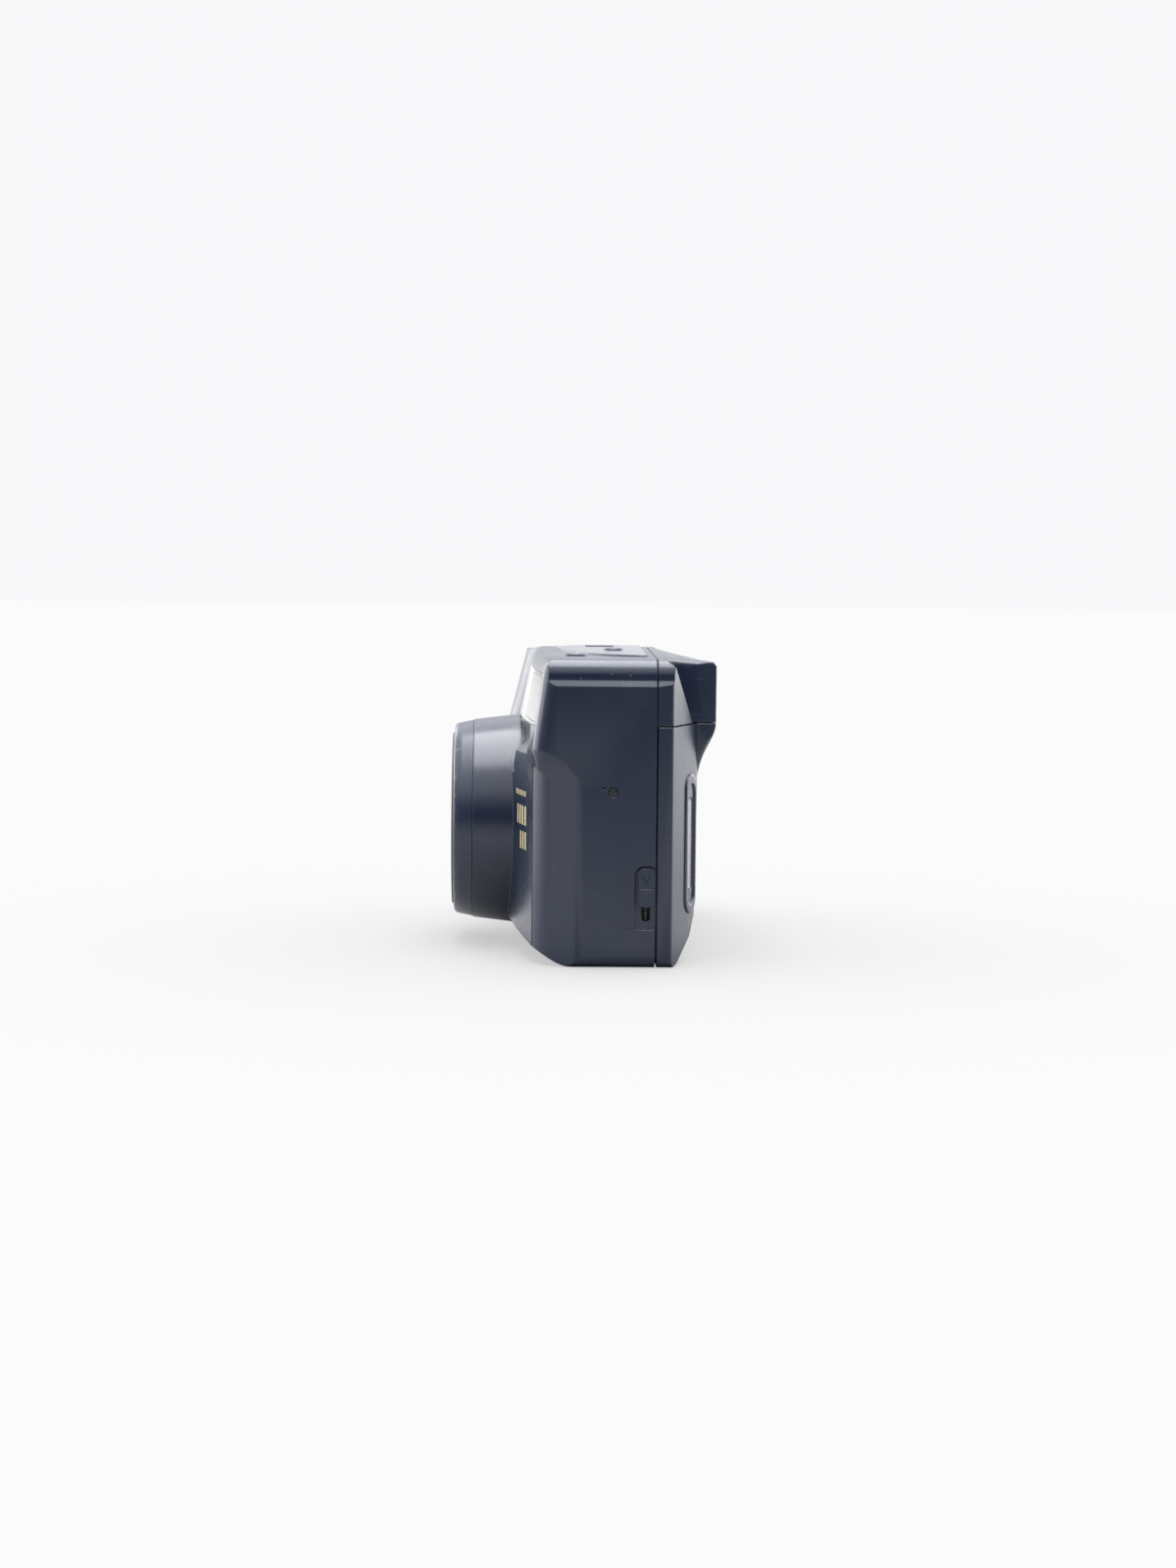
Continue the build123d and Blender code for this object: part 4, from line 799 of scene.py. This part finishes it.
@dataclass
class LatchSpring:
    """Coil spring under the door latch, which shortens as the latch slides down onto it."""

    centre: tuple[float, float] = (55.55, 9.9)
    z_span: tuple[float, float] = (8.2, 15.2)
    coil_radius: float = 0.42
    wire_radius: float = 0.11
    turns: int = 10
    steps_per_turn: int = 20
    sides: int = 8
    weld: float = 0.001
    pressed_share: float = 0.29

    def build(self) -> list[bpy.types.Object]:
        """Builds the coil as a round tube along a helix.

        The helix is x = R cos(a), y = R sin(a), and z climbs evenly with a. Round each point the
        tube leans with the coil: its circle lies across the helix's direction, and its radius
        falls to nothing over the two end rings, so that the wire is closed.

        Returns:
            The coil, riding on the body and squashed by the latch.
        """
        rings = self.turns * self.steps_per_turn + 1
        angle = np.linspace(0, 2 * np.pi * self.turns, rings)[:, None]
        low, high = self.z_span
        climb = (high - low) / (2 * np.pi * self.turns)
        out = np.concatenate([np.cos(angle), np.sin(angle), 0 * angle], axis=1)
        ahead = np.concatenate(
            [-self.coil_radius * np.sin(angle), self.coil_radius * np.cos(angle), climb + 0 * angle],
            axis=1,
        )
        ahead /= np.linalg.norm(ahead, axis=1, keepdims=True)
        across = np.cross(ahead, out)
        middle = self.coil_radius * out
        middle[:, 2] = low + climb * angle[:, 0]
        wire = np.full((rings, 1, 1), self.wire_radius)
        wire[[0, -1]] = 0.0
        turn = np.linspace(0, 2 * np.pi, self.sides, endpoint=False)[None, :, None]
        circle = np.cos(turn) * out[:, None, :] + np.sin(turn) * across[:, None, :]
        tube = middle[:, None, :] + wire * circle
        points = (tube + np.array([*self.centre, 0.0])) * MM
        spring = grid_object("latch_coil", points, close_columns=True)
        turn_outwards(spring, self.weld)
        spring.data.materials.append(Finish.STEEL.material())
        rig.ride(spring, "camera_body")
        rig.replaces(spring, "latch_spring")
        anchor = (self.centre[0] * MM, self.centre[1] * MM, low * MM)
        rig.squash(spring, "door_latch_slide", axis=(0, 0, 1), anchor=anchor, keep=self.pressed_share)
        return [spring]


@dataclass
class LensFront:
    """Anti-reflection steps moulded into the face of the inner barrel, round the lens cover.

    The barrel's face leans from face_y[0] at the radius face_r[0] to face_y[1] at face_r[1].
    """

    centre_z: float = 30.3
    inner_r: float = 9.6
    outer_r: float = 18.2
    steps: int = 7
    step_depth: float = 0.12
    proud: float = 0.02
    sunk: float = 0.03
    face_r: tuple[float, float] = (7.6, 18.6)
    face_y: tuple[float, float] = (-36.1, -36.5)
    turns: int = 128

    def build(self) -> list[bpy.types.Object]:
        """Builds the stepped ring as a closed turned profile.

        The front is a saw-tooth over the radius, the back lies just in the barrel's own face:
        y = face(r) - proud - depth * fraction(steps * share of the way out).

        Returns:
            The ring, riding on the inner barrel.
        """
        share = np.repeat(np.linspace(0, 1, self.steps + 1), 2)[1:-1]
        tooth = np.tile([0.0, 1.0], self.steps)
        radius = self.inner_r + share * (self.outer_r - self.inner_r)
        slope = (radius - self.face_r[0]) / (self.face_r[1] - self.face_r[0])
        face = self.face_y[0] + slope * (self.face_y[1] - self.face_y[0])
        front = np.stack([radius, face - self.proud - self.step_depth * tooth], axis=-1)
        back = np.stack([radius[[-1, 0]], face[[-1, 0]] + self.sunk], axis=-1)
        profile = np.concatenate([front, back])[None, :, :]
        angle = np.linspace(0, 2 * np.pi, self.turns, endpoint=False)[:, None]
        x = profile[:, :, 0] * np.cos(angle)
        y = np.broadcast_to(profile[:, :, 1], x.shape)
        z = self.centre_z + profile[:, :, 0] * np.sin(angle)
        points = np.stack([x, y, z], axis=-1) * MM
        ring = grid_object("lens_face_steps", points, close_rows=True, close_columns=True, smooth=False)
        turn_outwards(ring)
        ring.data.materials.append(Finish.INNER.material())
        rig.ride(ring, "inner_barrel")
        return [ring]


class Digit(Enum):
    """The dark bars of a digit: top, both upper sides, middle, both lower sides, base."""

    TWO = (1, 0, 1, 1, 1, 0, 1)
    FOUR = (0, 1, 1, 1, 0, 1, 0)


@dataclass
class FrameCounter:
    """Liquid-crystal film counter under the clear window of the top panel."""

    centre: tuple[float, float] = (-9.5, 0.0)
    size: tuple[float, float] = (12.0, 8.2)
    top_z: float = 71.2
    thickness: float = 0.2
    squareness: int = 8
    steps_round: int = 64
    steps_out: int = 6
    weld: float = 0.001
    digit_size: tuple[float, float] = (2.3, 4.4)
    digit_offset: float = 1.9
    digit_lift: float = 0.03
    digit_thickness: float = 0.02
    bar_width: float = 0.5
    bar_gap: float = 0.06

    def glass(self) -> bpy.types.Object:
        """Builds the grey-green glass as a sheet with softly crowned corners.

        Its rim is a super-ellipse of half sizes a and b, |x/a|^8 + |y/b|^8 = 1, and each ring
        inside it is the rim drawn smaller, down to a point.

        Returns:
            The glass, riding on the body.
        """
        angle = np.linspace(0, 2 * np.pi, self.steps_round, endpoint=False)[:, None]
        share = np.linspace(0, 1, self.steps_out)[None, :]
        power = np.abs(np.cos(angle)) ** self.squareness + np.abs(np.sin(angle)) ** self.squareness
        reach = power ** (-1 / self.squareness)
        x = self.centre[0] + self.size[0] / 2 * reach * np.cos(angle) * share
        y = self.centre[1] + self.size[1] / 2 * reach * np.sin(angle) * share
        z = np.full_like(x, self.top_z - self.thickness / 2)
        glass = grid_object("counter_glass", np.stack([x, y, z], axis=-1) * MM, close_rows=True)
        turn_outwards(glass, self.weld)
        thicken(glass, self.thickness)
        glass.data.materials.append(Finish.CRYSTAL.material())
        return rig.ride(glass, "camera_body")

    def digit(self, name: str, digit: Digit, middle_x: float) -> bpy.types.Object:
        """Builds one digit's dark bars as thin strips with a point at each end.

        Args:
            name: Piece name.
            digit: Which bars it has.
            middle_x: The digit's middle on x.

        Returns:
            The digit, riding on the body.
        """
        wide, tall = self.digit_size
        # each bar's middle in half widths and half heights of the digit, and whether it lies along x
        places = np.array(
            [(0, 1, 1), (-1, 0.5, 0), (1, 0.5, 0), (0, 0, 1), (-1, -0.5, 0), (1, -0.5, 0), (0, -1, 1)]
        )[np.array(digit.value, dtype=bool)]
        lies = places[:, 2:3] == 1
        half_wide = self.bar_width / 2
        half_long = np.where(lies, wide / 2, tall / 4) - half_wide - self.bar_gap
        # the outline's six corners in order: which end, how far out to its point, and which side
        end = np.array([-1.0, -1.0, -1.0, 1.0, 1.0, 1.0])
        point = np.array([0.0, -1.0, 0.0, 0.0, 1.0, 0.0])
        side = np.array([1.0, 0.0, -1.0, -1.0, 0.0, 1.0])
        along = half_long * end + half_wide * point
        across = np.broadcast_to(half_wide * side, along.shape)
        x = middle_x + places[:, 0:1] * wide / 2 + np.where(lies, along, across)
        y = self.centre[1] + places[:, 1:2] * tall / 2 + np.where(lies, across, along)
        z = np.full_like(x, self.top_z + self.digit_lift)
        faces = np.arange(x.size).reshape(x.shape)
        piece = mesh_object(name, np.stack([x, y, z], axis=-1) * MM, faces)
        thicken(piece, self.digit_thickness)
        piece.data.materials.append(Finish.INK.material())
        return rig.ride(piece, "camera_body")

    def build(self) -> list[bpy.types.Object]:
        """Builds the glass and the two digits.

        Returns:
            The three pieces.
        """
        return [
            self.glass(),
            self.digit("counter_digit_tens", Digit.TWO, self.centre[0] - self.digit_offset),
            self.digit("counter_digit_ones", Digit.FOUR, self.centre[0] + self.digit_offset),
        ]


@dataclass(frozen=True)
class BarRow:
    """One row of equal short bars, spread evenly over a stretch of x."""

    middle_z: float
    height: float
    bars: int
    x_span: tuple[float, float]


@dataclass
class GoldTrim:
    """Hot-stamped gold marks on the lower front beside the lens: rows of plain short bars.

    corner, middle and end are x and y of three points of the lower front's bow.
    """

    corner: tuple[float, float] = (58.0, -14.7)
    middle: tuple[float, float] = (14.0, -22.7)
    end: tuple[float, float] = (-32.0, -20.61)
    rows: tuple[BarRow, ...] = (
        BarRow(39.9, 1.3, 7, (31.0, 44.0)),
        BarRow(34.6, 4.6, 4, (33.0, 45.0)),
        BarRow(28.6, 4.2, 3, (37.0, 45.0)),
    )
    filled_share: float = 0.48
    steps_across: int = 3
    proud: float = 0.04
    thickness: float = 0.03

    def front_depth(self, x: np.ndarray) -> np.ndarray:
        """Gives y of the lower front, the circle through its corner, middle and end.

        Args:
            x: The points' x.

        Returns:
            The points' y.
        """
        (ax, ay), (bx, by), (cx, cy) = self.corner, self.middle, self.end
        sides = np.array([[2 * (bx - ax), 2 * (by - ay)], [2 * (cx - ax), 2 * (cy - ay)]])
        sums = np.array([bx**2 - ax**2 + by**2 - ay**2, cx**2 - ax**2 + cy**2 - ay**2])
        centre_x, centre_y = np.linalg.solve(sides, sums)
        radius = math.hypot(ax - centre_x, ay - centre_y)
        return centre_y - np.sqrt(radius**2 - (x - centre_x) ** 2)

    def row(self, name: str, row: BarRow) -> bpy.types.Object:
        """Builds one row of bars that follow the bowed front, a little proud of it.

        A bar has steps_across quads side by side: its points are a grid of bars by columns by two
        heights, and each quad joins two columns.

        Args:
            name: Piece name.
            row: The row's place and sizes.

        Returns:
            The row, riding on the body.
        """
        low_x, high_x = row.x_span
        pitch = (high_x - low_x) / row.bars
        columns = self.steps_across + 1
        x = low_x + pitch * np.arange(row.bars)[:, None, None]
        x = x + np.linspace(0, self.filled_share * pitch, columns)[None, :, None]
        z = row.middle_z + row.height * np.array([-0.5, 0.5])
        x, z = np.broadcast_arrays(x, z)
        points = np.stack([x, self.front_depth(x) - self.proud, z], axis=-1) * MM
        first = np.arange(row.bars * columns * 2).reshape(row.bars, columns, 2)[:, :-1, :1]
        faces = first.reshape(-1, 1) + np.array([[0, 2, 3, 1]])
        piece = mesh_object(name, points, faces)
        thicken(piece, self.thickness)
        piece.data.materials.append(Finish.FOIL.material())
        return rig.ride(piece, "camera_body")

    def build(self) -> list[bpy.types.Object]:
        """Builds all rows.

        Returns:
            The rows, from the top down.
        """
        return [self.row(f"gold_bars_{number}", row) for number, row in enumerate(self.rows, start=1)]


def looking_along(place: tuple[float, float, float], direction: Vector) -> Matrix:
    """Gives the matrix of a camera or light.

    Args:
        place: Where it stands, in metres.
        direction: Which way it faces.

    Returns:
        The matrix, with the upper side of its view towards +Z.
    """
    turn = direction.to_track_quat("-Z", "Y").to_matrix().to_4x4()
    return Matrix.Translation(place) @ turn


@dataclass(frozen=True)
class Softbox:
    """A rectangular soft light that the camera doesn't see. Metres and watts."""

    name: str
    place: tuple[float, float, float]
    aim: tuple[float, float, float]
    size: tuple[float, float]
    power: float

    def build(self) -> None:
        """Hangs the light at its place, facing its aim."""
        data = bpy.data.lights.new(self.name, "AREA")
        data.shape = "RECTANGLE"
        data.size, data.size_y = self.size
        data.energy = self.power
        light = bpy.data.objects.new(self.name, data)
        light.visible_camera = False
        light.matrix_world = looking_along(self.place, Vector(self.aim) - Vector(self.place))
        bpy.context.collection.objects.link(light)


@dataclass
class Studio:
    """Pale sweep, soft lights and the camera of the photograph. Metres.

    The floor and the surround are a plain white to the view. What the object mirrors of them is
    brighter or darker than that, as in the photograph.
    """

    camera_place: tuple[float, float, float] = (0.858, -0.0208, 0.108)
    view_direction: tuple[float, float, float] = (-1.0, 0.021, -0.0804)
    roll_deg: float = 0.5
    sensor_mm: float = 36.0
    focal_mm: float = 78.4
    near_clip: float = 0.02
    # the overhead box draws the bright bands along the shoulder and the barrel, and the side boxes
    # light the corners' edges
    softboxes: tuple[Softbox, ...] = (
        Softbox("overhead_softbox", (-0.1, 0.0, 1.3), (-0.1, 0.0, 0.0), (1.35, 0.8), 22.0),
        Softbox("front_softbox", (-0.75, -0.95, 0.35), (-0.3, 0.0, 0.05), (1.9, 0.9), 12.0),
        Softbox("back_softbox", (-0.75, 0.95, 0.35), (-0.3, 0.0, 0.05), (1.9, 0.9), 11.0),
    )
    floor_half: float = 3.0
    floor_colour: str = "8e8e8e"
    floor_roughness: float = 0.8
    floor_shine: float = 0.1
    glow_colour: str = "fbfbfb"
    shadow_lift: float = 0.52
    shadow_reach: tuple[float, float] = (0.05, 0.24)
    footprint_centre: tuple[float, float] = (-0.007, 0.004)
    footprint_half: tuple[float, float] = (0.065, 0.02)
    contact_fade: float = 0.05
    sweep_glare: tuple[float, float] = (1.2, 0.35)
    sweep_x: tuple[float, float] = (0.12, 0.7)
    light_glare: float = 0.5
    light_y: tuple[float, float] = (0.1, 0.35)
    light_x: tuple[float, float] = (0.25, 0.0)
    surround_colour: str = "fdfdff"
    backdrop_strength: float = 0.96
    far_strength: float = 1.0
    near_strength: float = 0.08
    sky_strength: float = 1.5
    sky_rise: tuple[float, float] = (0.2, 0.7)

    def camera(self) -> None:
        """Makes the camera and sets it as the scene's own."""
        data = bpy.data.cameras.new("photo_camera")
        data.sensor_fit = "VERTICAL"
        data.sensor_height = self.sensor_mm
        data.lens = self.focal_mm
        data.clip_start = self.near_clip
        camera = bpy.data.objects.new("photo_camera", data)
        roll = Matrix.Rotation(math.radians(self.roll_deg), 4, "Z")
        camera.matrix_world = looking_along(self.camera_place, Vector(self.view_direction)) @ roll
        bpy.context.collection.objects.link(camera)
        bpy.context.scene.camera = camera

    def seen_share(
        self, tree: bpy.types.NodeTree, place: bpy.types.NodeSocket
    ) -> bpy.types.NodeSocket:
        """Adds the glow's share in the floor as the camera sees it.

        It is shadow_lift under the object, which leaves a soft shadow, and grows to 1 further out.

        Args:
            tree: The floor's node tree.
            place: Object coordinates.

        Returns:
            The share's socket.
        """
        reach = add_node(tree, "ShaderNodeVectorMath", {0: place}, operation="LENGTH")
        seen = add_node(
            tree, "ShaderNodeMapRange",
            {
                "Value": reach.outputs["Value"], "From Min": self.shadow_reach[0],
                "From Max": self.shadow_reach[1], "To Min": self.shadow_lift,
            },
            interpolation_type="SMOOTHSTEP",
        )
        return seen.outputs["Result"]

    def mirrored_share(
        self, tree: bpy.types.NodeTree, place: bpy.types.NodeSocket
    ) -> bpy.types.NodeSocket:
        """Adds the glow's share in the floor as the object mirrors it.

        It is 0 under the object, a plain rectangle, and grows to 1 over contact_fade round it.

        Args:
            tree: The floor's node tree.
            place: Object coordinates.

        Returns:
            The share's socket.
        """
        offset = add_node(
            tree, "ShaderNodeVectorMath", {0: place, 1: (*self.footprint_centre, 0.0)}, operation="SUBTRACT"
        )
        away = add_node(tree, "ShaderNodeVectorMath", {0: offset.outputs["Vector"]}, operation="ABSOLUTE")
        beyond = add_node(
            tree, "ShaderNodeVectorMath",
            {0: away.outputs["Vector"], 1: (*self.footprint_half, 0.0)}, operation="SUBTRACT",
        )
        outside = add_node(
            tree, "ShaderNodeVectorMath", {0: beyond.outputs["Vector"], 1: (0.0, 0.0, 0.0)},
            operation="MAXIMUM",
        )
        gap = add_node(tree, "ShaderNodeVectorMath", {0: outside.outputs["Vector"]}, operation="LENGTH")
        mirrored = add_node(
            tree, "ShaderNodeMapRange",
            {"Value": gap.outputs["Value"], "From Min": 0.0, "From Max": self.contact_fade},
            interpolation_type="SMOOTHSTEP",
        )
        return mirrored.outputs["Result"]

    def mirrored_brightness(
        self, tree: bpy.types.NodeTree, place: bpy.types.NodeSocket
    ) -> bpy.types.NodeSocket:
        """Adds the glow's strength in the floor as the object mirrors it.

        It falls with x, towards the viewer, from sweep_glare[0] to sweep_glare[1]. Under the front
        and back lights, on the far side, light_glare is added.

        Args:
            tree: The floor's node tree.
            place: Object coordinates.

        Returns:
            The strength's socket.
        """
        side = add_node(tree, "ShaderNodeSeparateXYZ", {0: place})
        glare = add_node(
            tree, "ShaderNodeMapRange",
            {
                "Value": side.outputs["X"], "From Min": self.sweep_x[0], "From Max": self.sweep_x[1],
                "To Min": self.sweep_glare[0], "To Max": self.sweep_glare[1],
            },
        )
        sideways = add_node(tree, "ShaderNodeMath", {0: side.outputs["Y"]}, operation="ABSOLUTE")
        under_lights = add_node(
            tree, "ShaderNodeMapRange",
            {
                "Value": sideways.outputs["Value"], "From Min": self.light_y[0],
                "From Max": self.light_y[1], "To Max": self.light_glare,
            },
            interpolation_type="SMOOTHSTEP",
        )
        far_side = add_node(
            tree, "ShaderNodeMapRange",
            {"Value": side.outputs["X"], "From Min": self.light_x[0], "From Max": self.light_x[1]},
            interpolation_type="SMOOTHSTEP",
        )
        brightness = add_node(
            tree, "ShaderNodeMath",
            {0: under_lights.outputs["Result"], 1: far_side.outputs["Result"], 2: glare.outputs["Result"]},
            operation="MULTIPLY_ADD",
        )
        return brightness.outputs["Value"]

    def floor(self) -> None:
        """Lays the pale floor, a mix of grey paint and a white glow.

        The glow's share is seen_share for camera rays, mirrored_share for rays off or through the
        object, and 0 for all others, so that the glow puts no light on the object.
        """
        material, tree = blank_material("pale_sweep")
        place = add_node(tree, "ShaderNodeTexCoord").outputs["Object"]
        path = add_node(tree, "ShaderNodeLightPath")
        bounce = add_node(
            tree, "ShaderNodeMath",
            {0: path.outputs["Is Glossy Ray"], 1: path.outputs["Is Transmission Ray"]},
            operation="MAXIMUM",
        ).outputs["Value"]
        direct_share = add_node(
            tree, "ShaderNodeMath",
            {0: path.outputs["Is Camera Ray"], 1: self.seen_share(tree, place)}, operation="MULTIPLY",
        )
        share = add_node(
            tree, "ShaderNodeMath",
            {0: bounce, 1: self.mirrored_share(tree, place), 2: direct_share.outputs["Value"]},
            operation="MULTIPLY_ADD",
        )
        level = add_node(
            tree, "ShaderNodeMapRange",
            {"Value": bounce, "To Min": 1.0, "To Max": self.mirrored_brightness(tree, place)},
        )
        paint = add_node(
            tree, "ShaderNodeBsdfPrincipled",
            {
                "Base Color": linear_rgba(self.floor_colour), "Roughness": self.floor_roughness,
                "Specular IOR Level": self.floor_shine,
            },
        )
        glow = add_node(
            tree, "ShaderNodeEmission",
            {"Color": linear_rgba(self.glow_colour), "Strength": level.outputs["Result"]},
        )
        surface = add_node(
            tree, "ShaderNodeMixShader",
            {0: share.outputs["Value"], 1: paint.outputs["BSDF"], 2: glow.outputs["Emission"]},
        )
        add_node(tree, "ShaderNodeOutputMaterial", {"Surface": surface.outputs["Shader"]})
        corners = self.floor_half * np.array([(-1, -1, 0), (1, -1, 0), (1, 1, 0), (-1, 1, 0)])
        floor = mesh_object("studio_floor", corners, np.array([[0, 1, 2, 3]]))
        floor.data.materials.append(material)
        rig.stage(floor)

    def world(self) -> None:
        """Sets a surround that is white beyond the object and falls off on the viewer's side.

        The strength follows the direction's x, from far_strength at 0 to near_strength at +1. With
        the direction's z between the values of sky_rise, from about 12 to 44 degrees up,
        sky_strength is added to it bit by bit. Camera rays see backdrop_strength all round.
        """
        world = bpy.data.worlds.new("studio_surround")
        world.use_nodes = True
        tree = world.node_tree
        tree.nodes.clear()
        direction = add_node(tree, "ShaderNodeTexCoord").outputs["Generated"]
        way = add_node(tree, "ShaderNodeSeparateXYZ", {0: direction})
        level = add_node(
            tree, "ShaderNodeMapRange",
            {
                "Value": way.outputs["X"], "From Min": 0.0, "From Max": 1.0,
                "To Min": self.far_strength, "To Max": self.near_strength,
            },
        )
        sky = add_node(
            tree, "ShaderNodeMapRange",
            {
                "Value": way.outputs["Z"], "From Min": self.sky_rise[0], "From Max": self.sky_rise[1],
                "To Max": self.sky_strength,
            },
            interpolation_type="SMOOTHSTEP",
        )
        total = add_node(
            tree, "ShaderNodeMath", {0: level.outputs["Result"], 1: sky.outputs["Result"]}, operation="ADD"
        )
        path = add_node(tree, "ShaderNodeLightPath")
        # a Mix node of numbers takes them at its inputs 2 and 3
        strength = add_node(
            tree, "ShaderNodeMix",
            {0: path.outputs["Is Camera Ray"], 2: total.outputs["Value"], 3: self.backdrop_strength},
            data_type="FLOAT",
        )
        back = add_node(
            tree, "ShaderNodeBackground",
            {"Color": linear_rgba(self.surround_colour), "Strength": strength.outputs[0]},
        )
        add_node(tree, "ShaderNodeOutputWorld", {"Surface": back.outputs["Background"]})
        bpy.context.scene.world = world

    def build(self) -> None:
        """Builds the camera, floor, lights and surround."""
        bpy.context.scene.view_settings.view_transform = "Standard"
        self.camera()
        self.floor()
        for softbox in self.softboxes:
            softbox.build()
        self.world()


def main() -> None:
    """Builds the scene and reports each piece."""
    logging.basicConfig(level=logging.INFO, format="%(name)s: %(message)s")
    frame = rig.load()
    cad_box = [list(corner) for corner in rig.bounds()]
    CadDressing(frame).dress()
    for part in (FlashDiffuser(), LatchSpring(), LensFront(), FrameCounter(), GoldTrim()):
        for piece in part.build():
            log.info("built %s", piece.name)
    Studio().build()
    log.info("%d pieces in the table", len(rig.table()["pieces"]))
    visual_box = [list(corner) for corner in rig.bounds()]
    with open("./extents.json", "w", encoding="utf-8") as sizes:
        json.dump({"cad": cad_box, "visual": visual_box}, sizes)
    log.info("cad box %s, visual box %s", cad_box, visual_box)


if __name__ == "__main__":
    main()
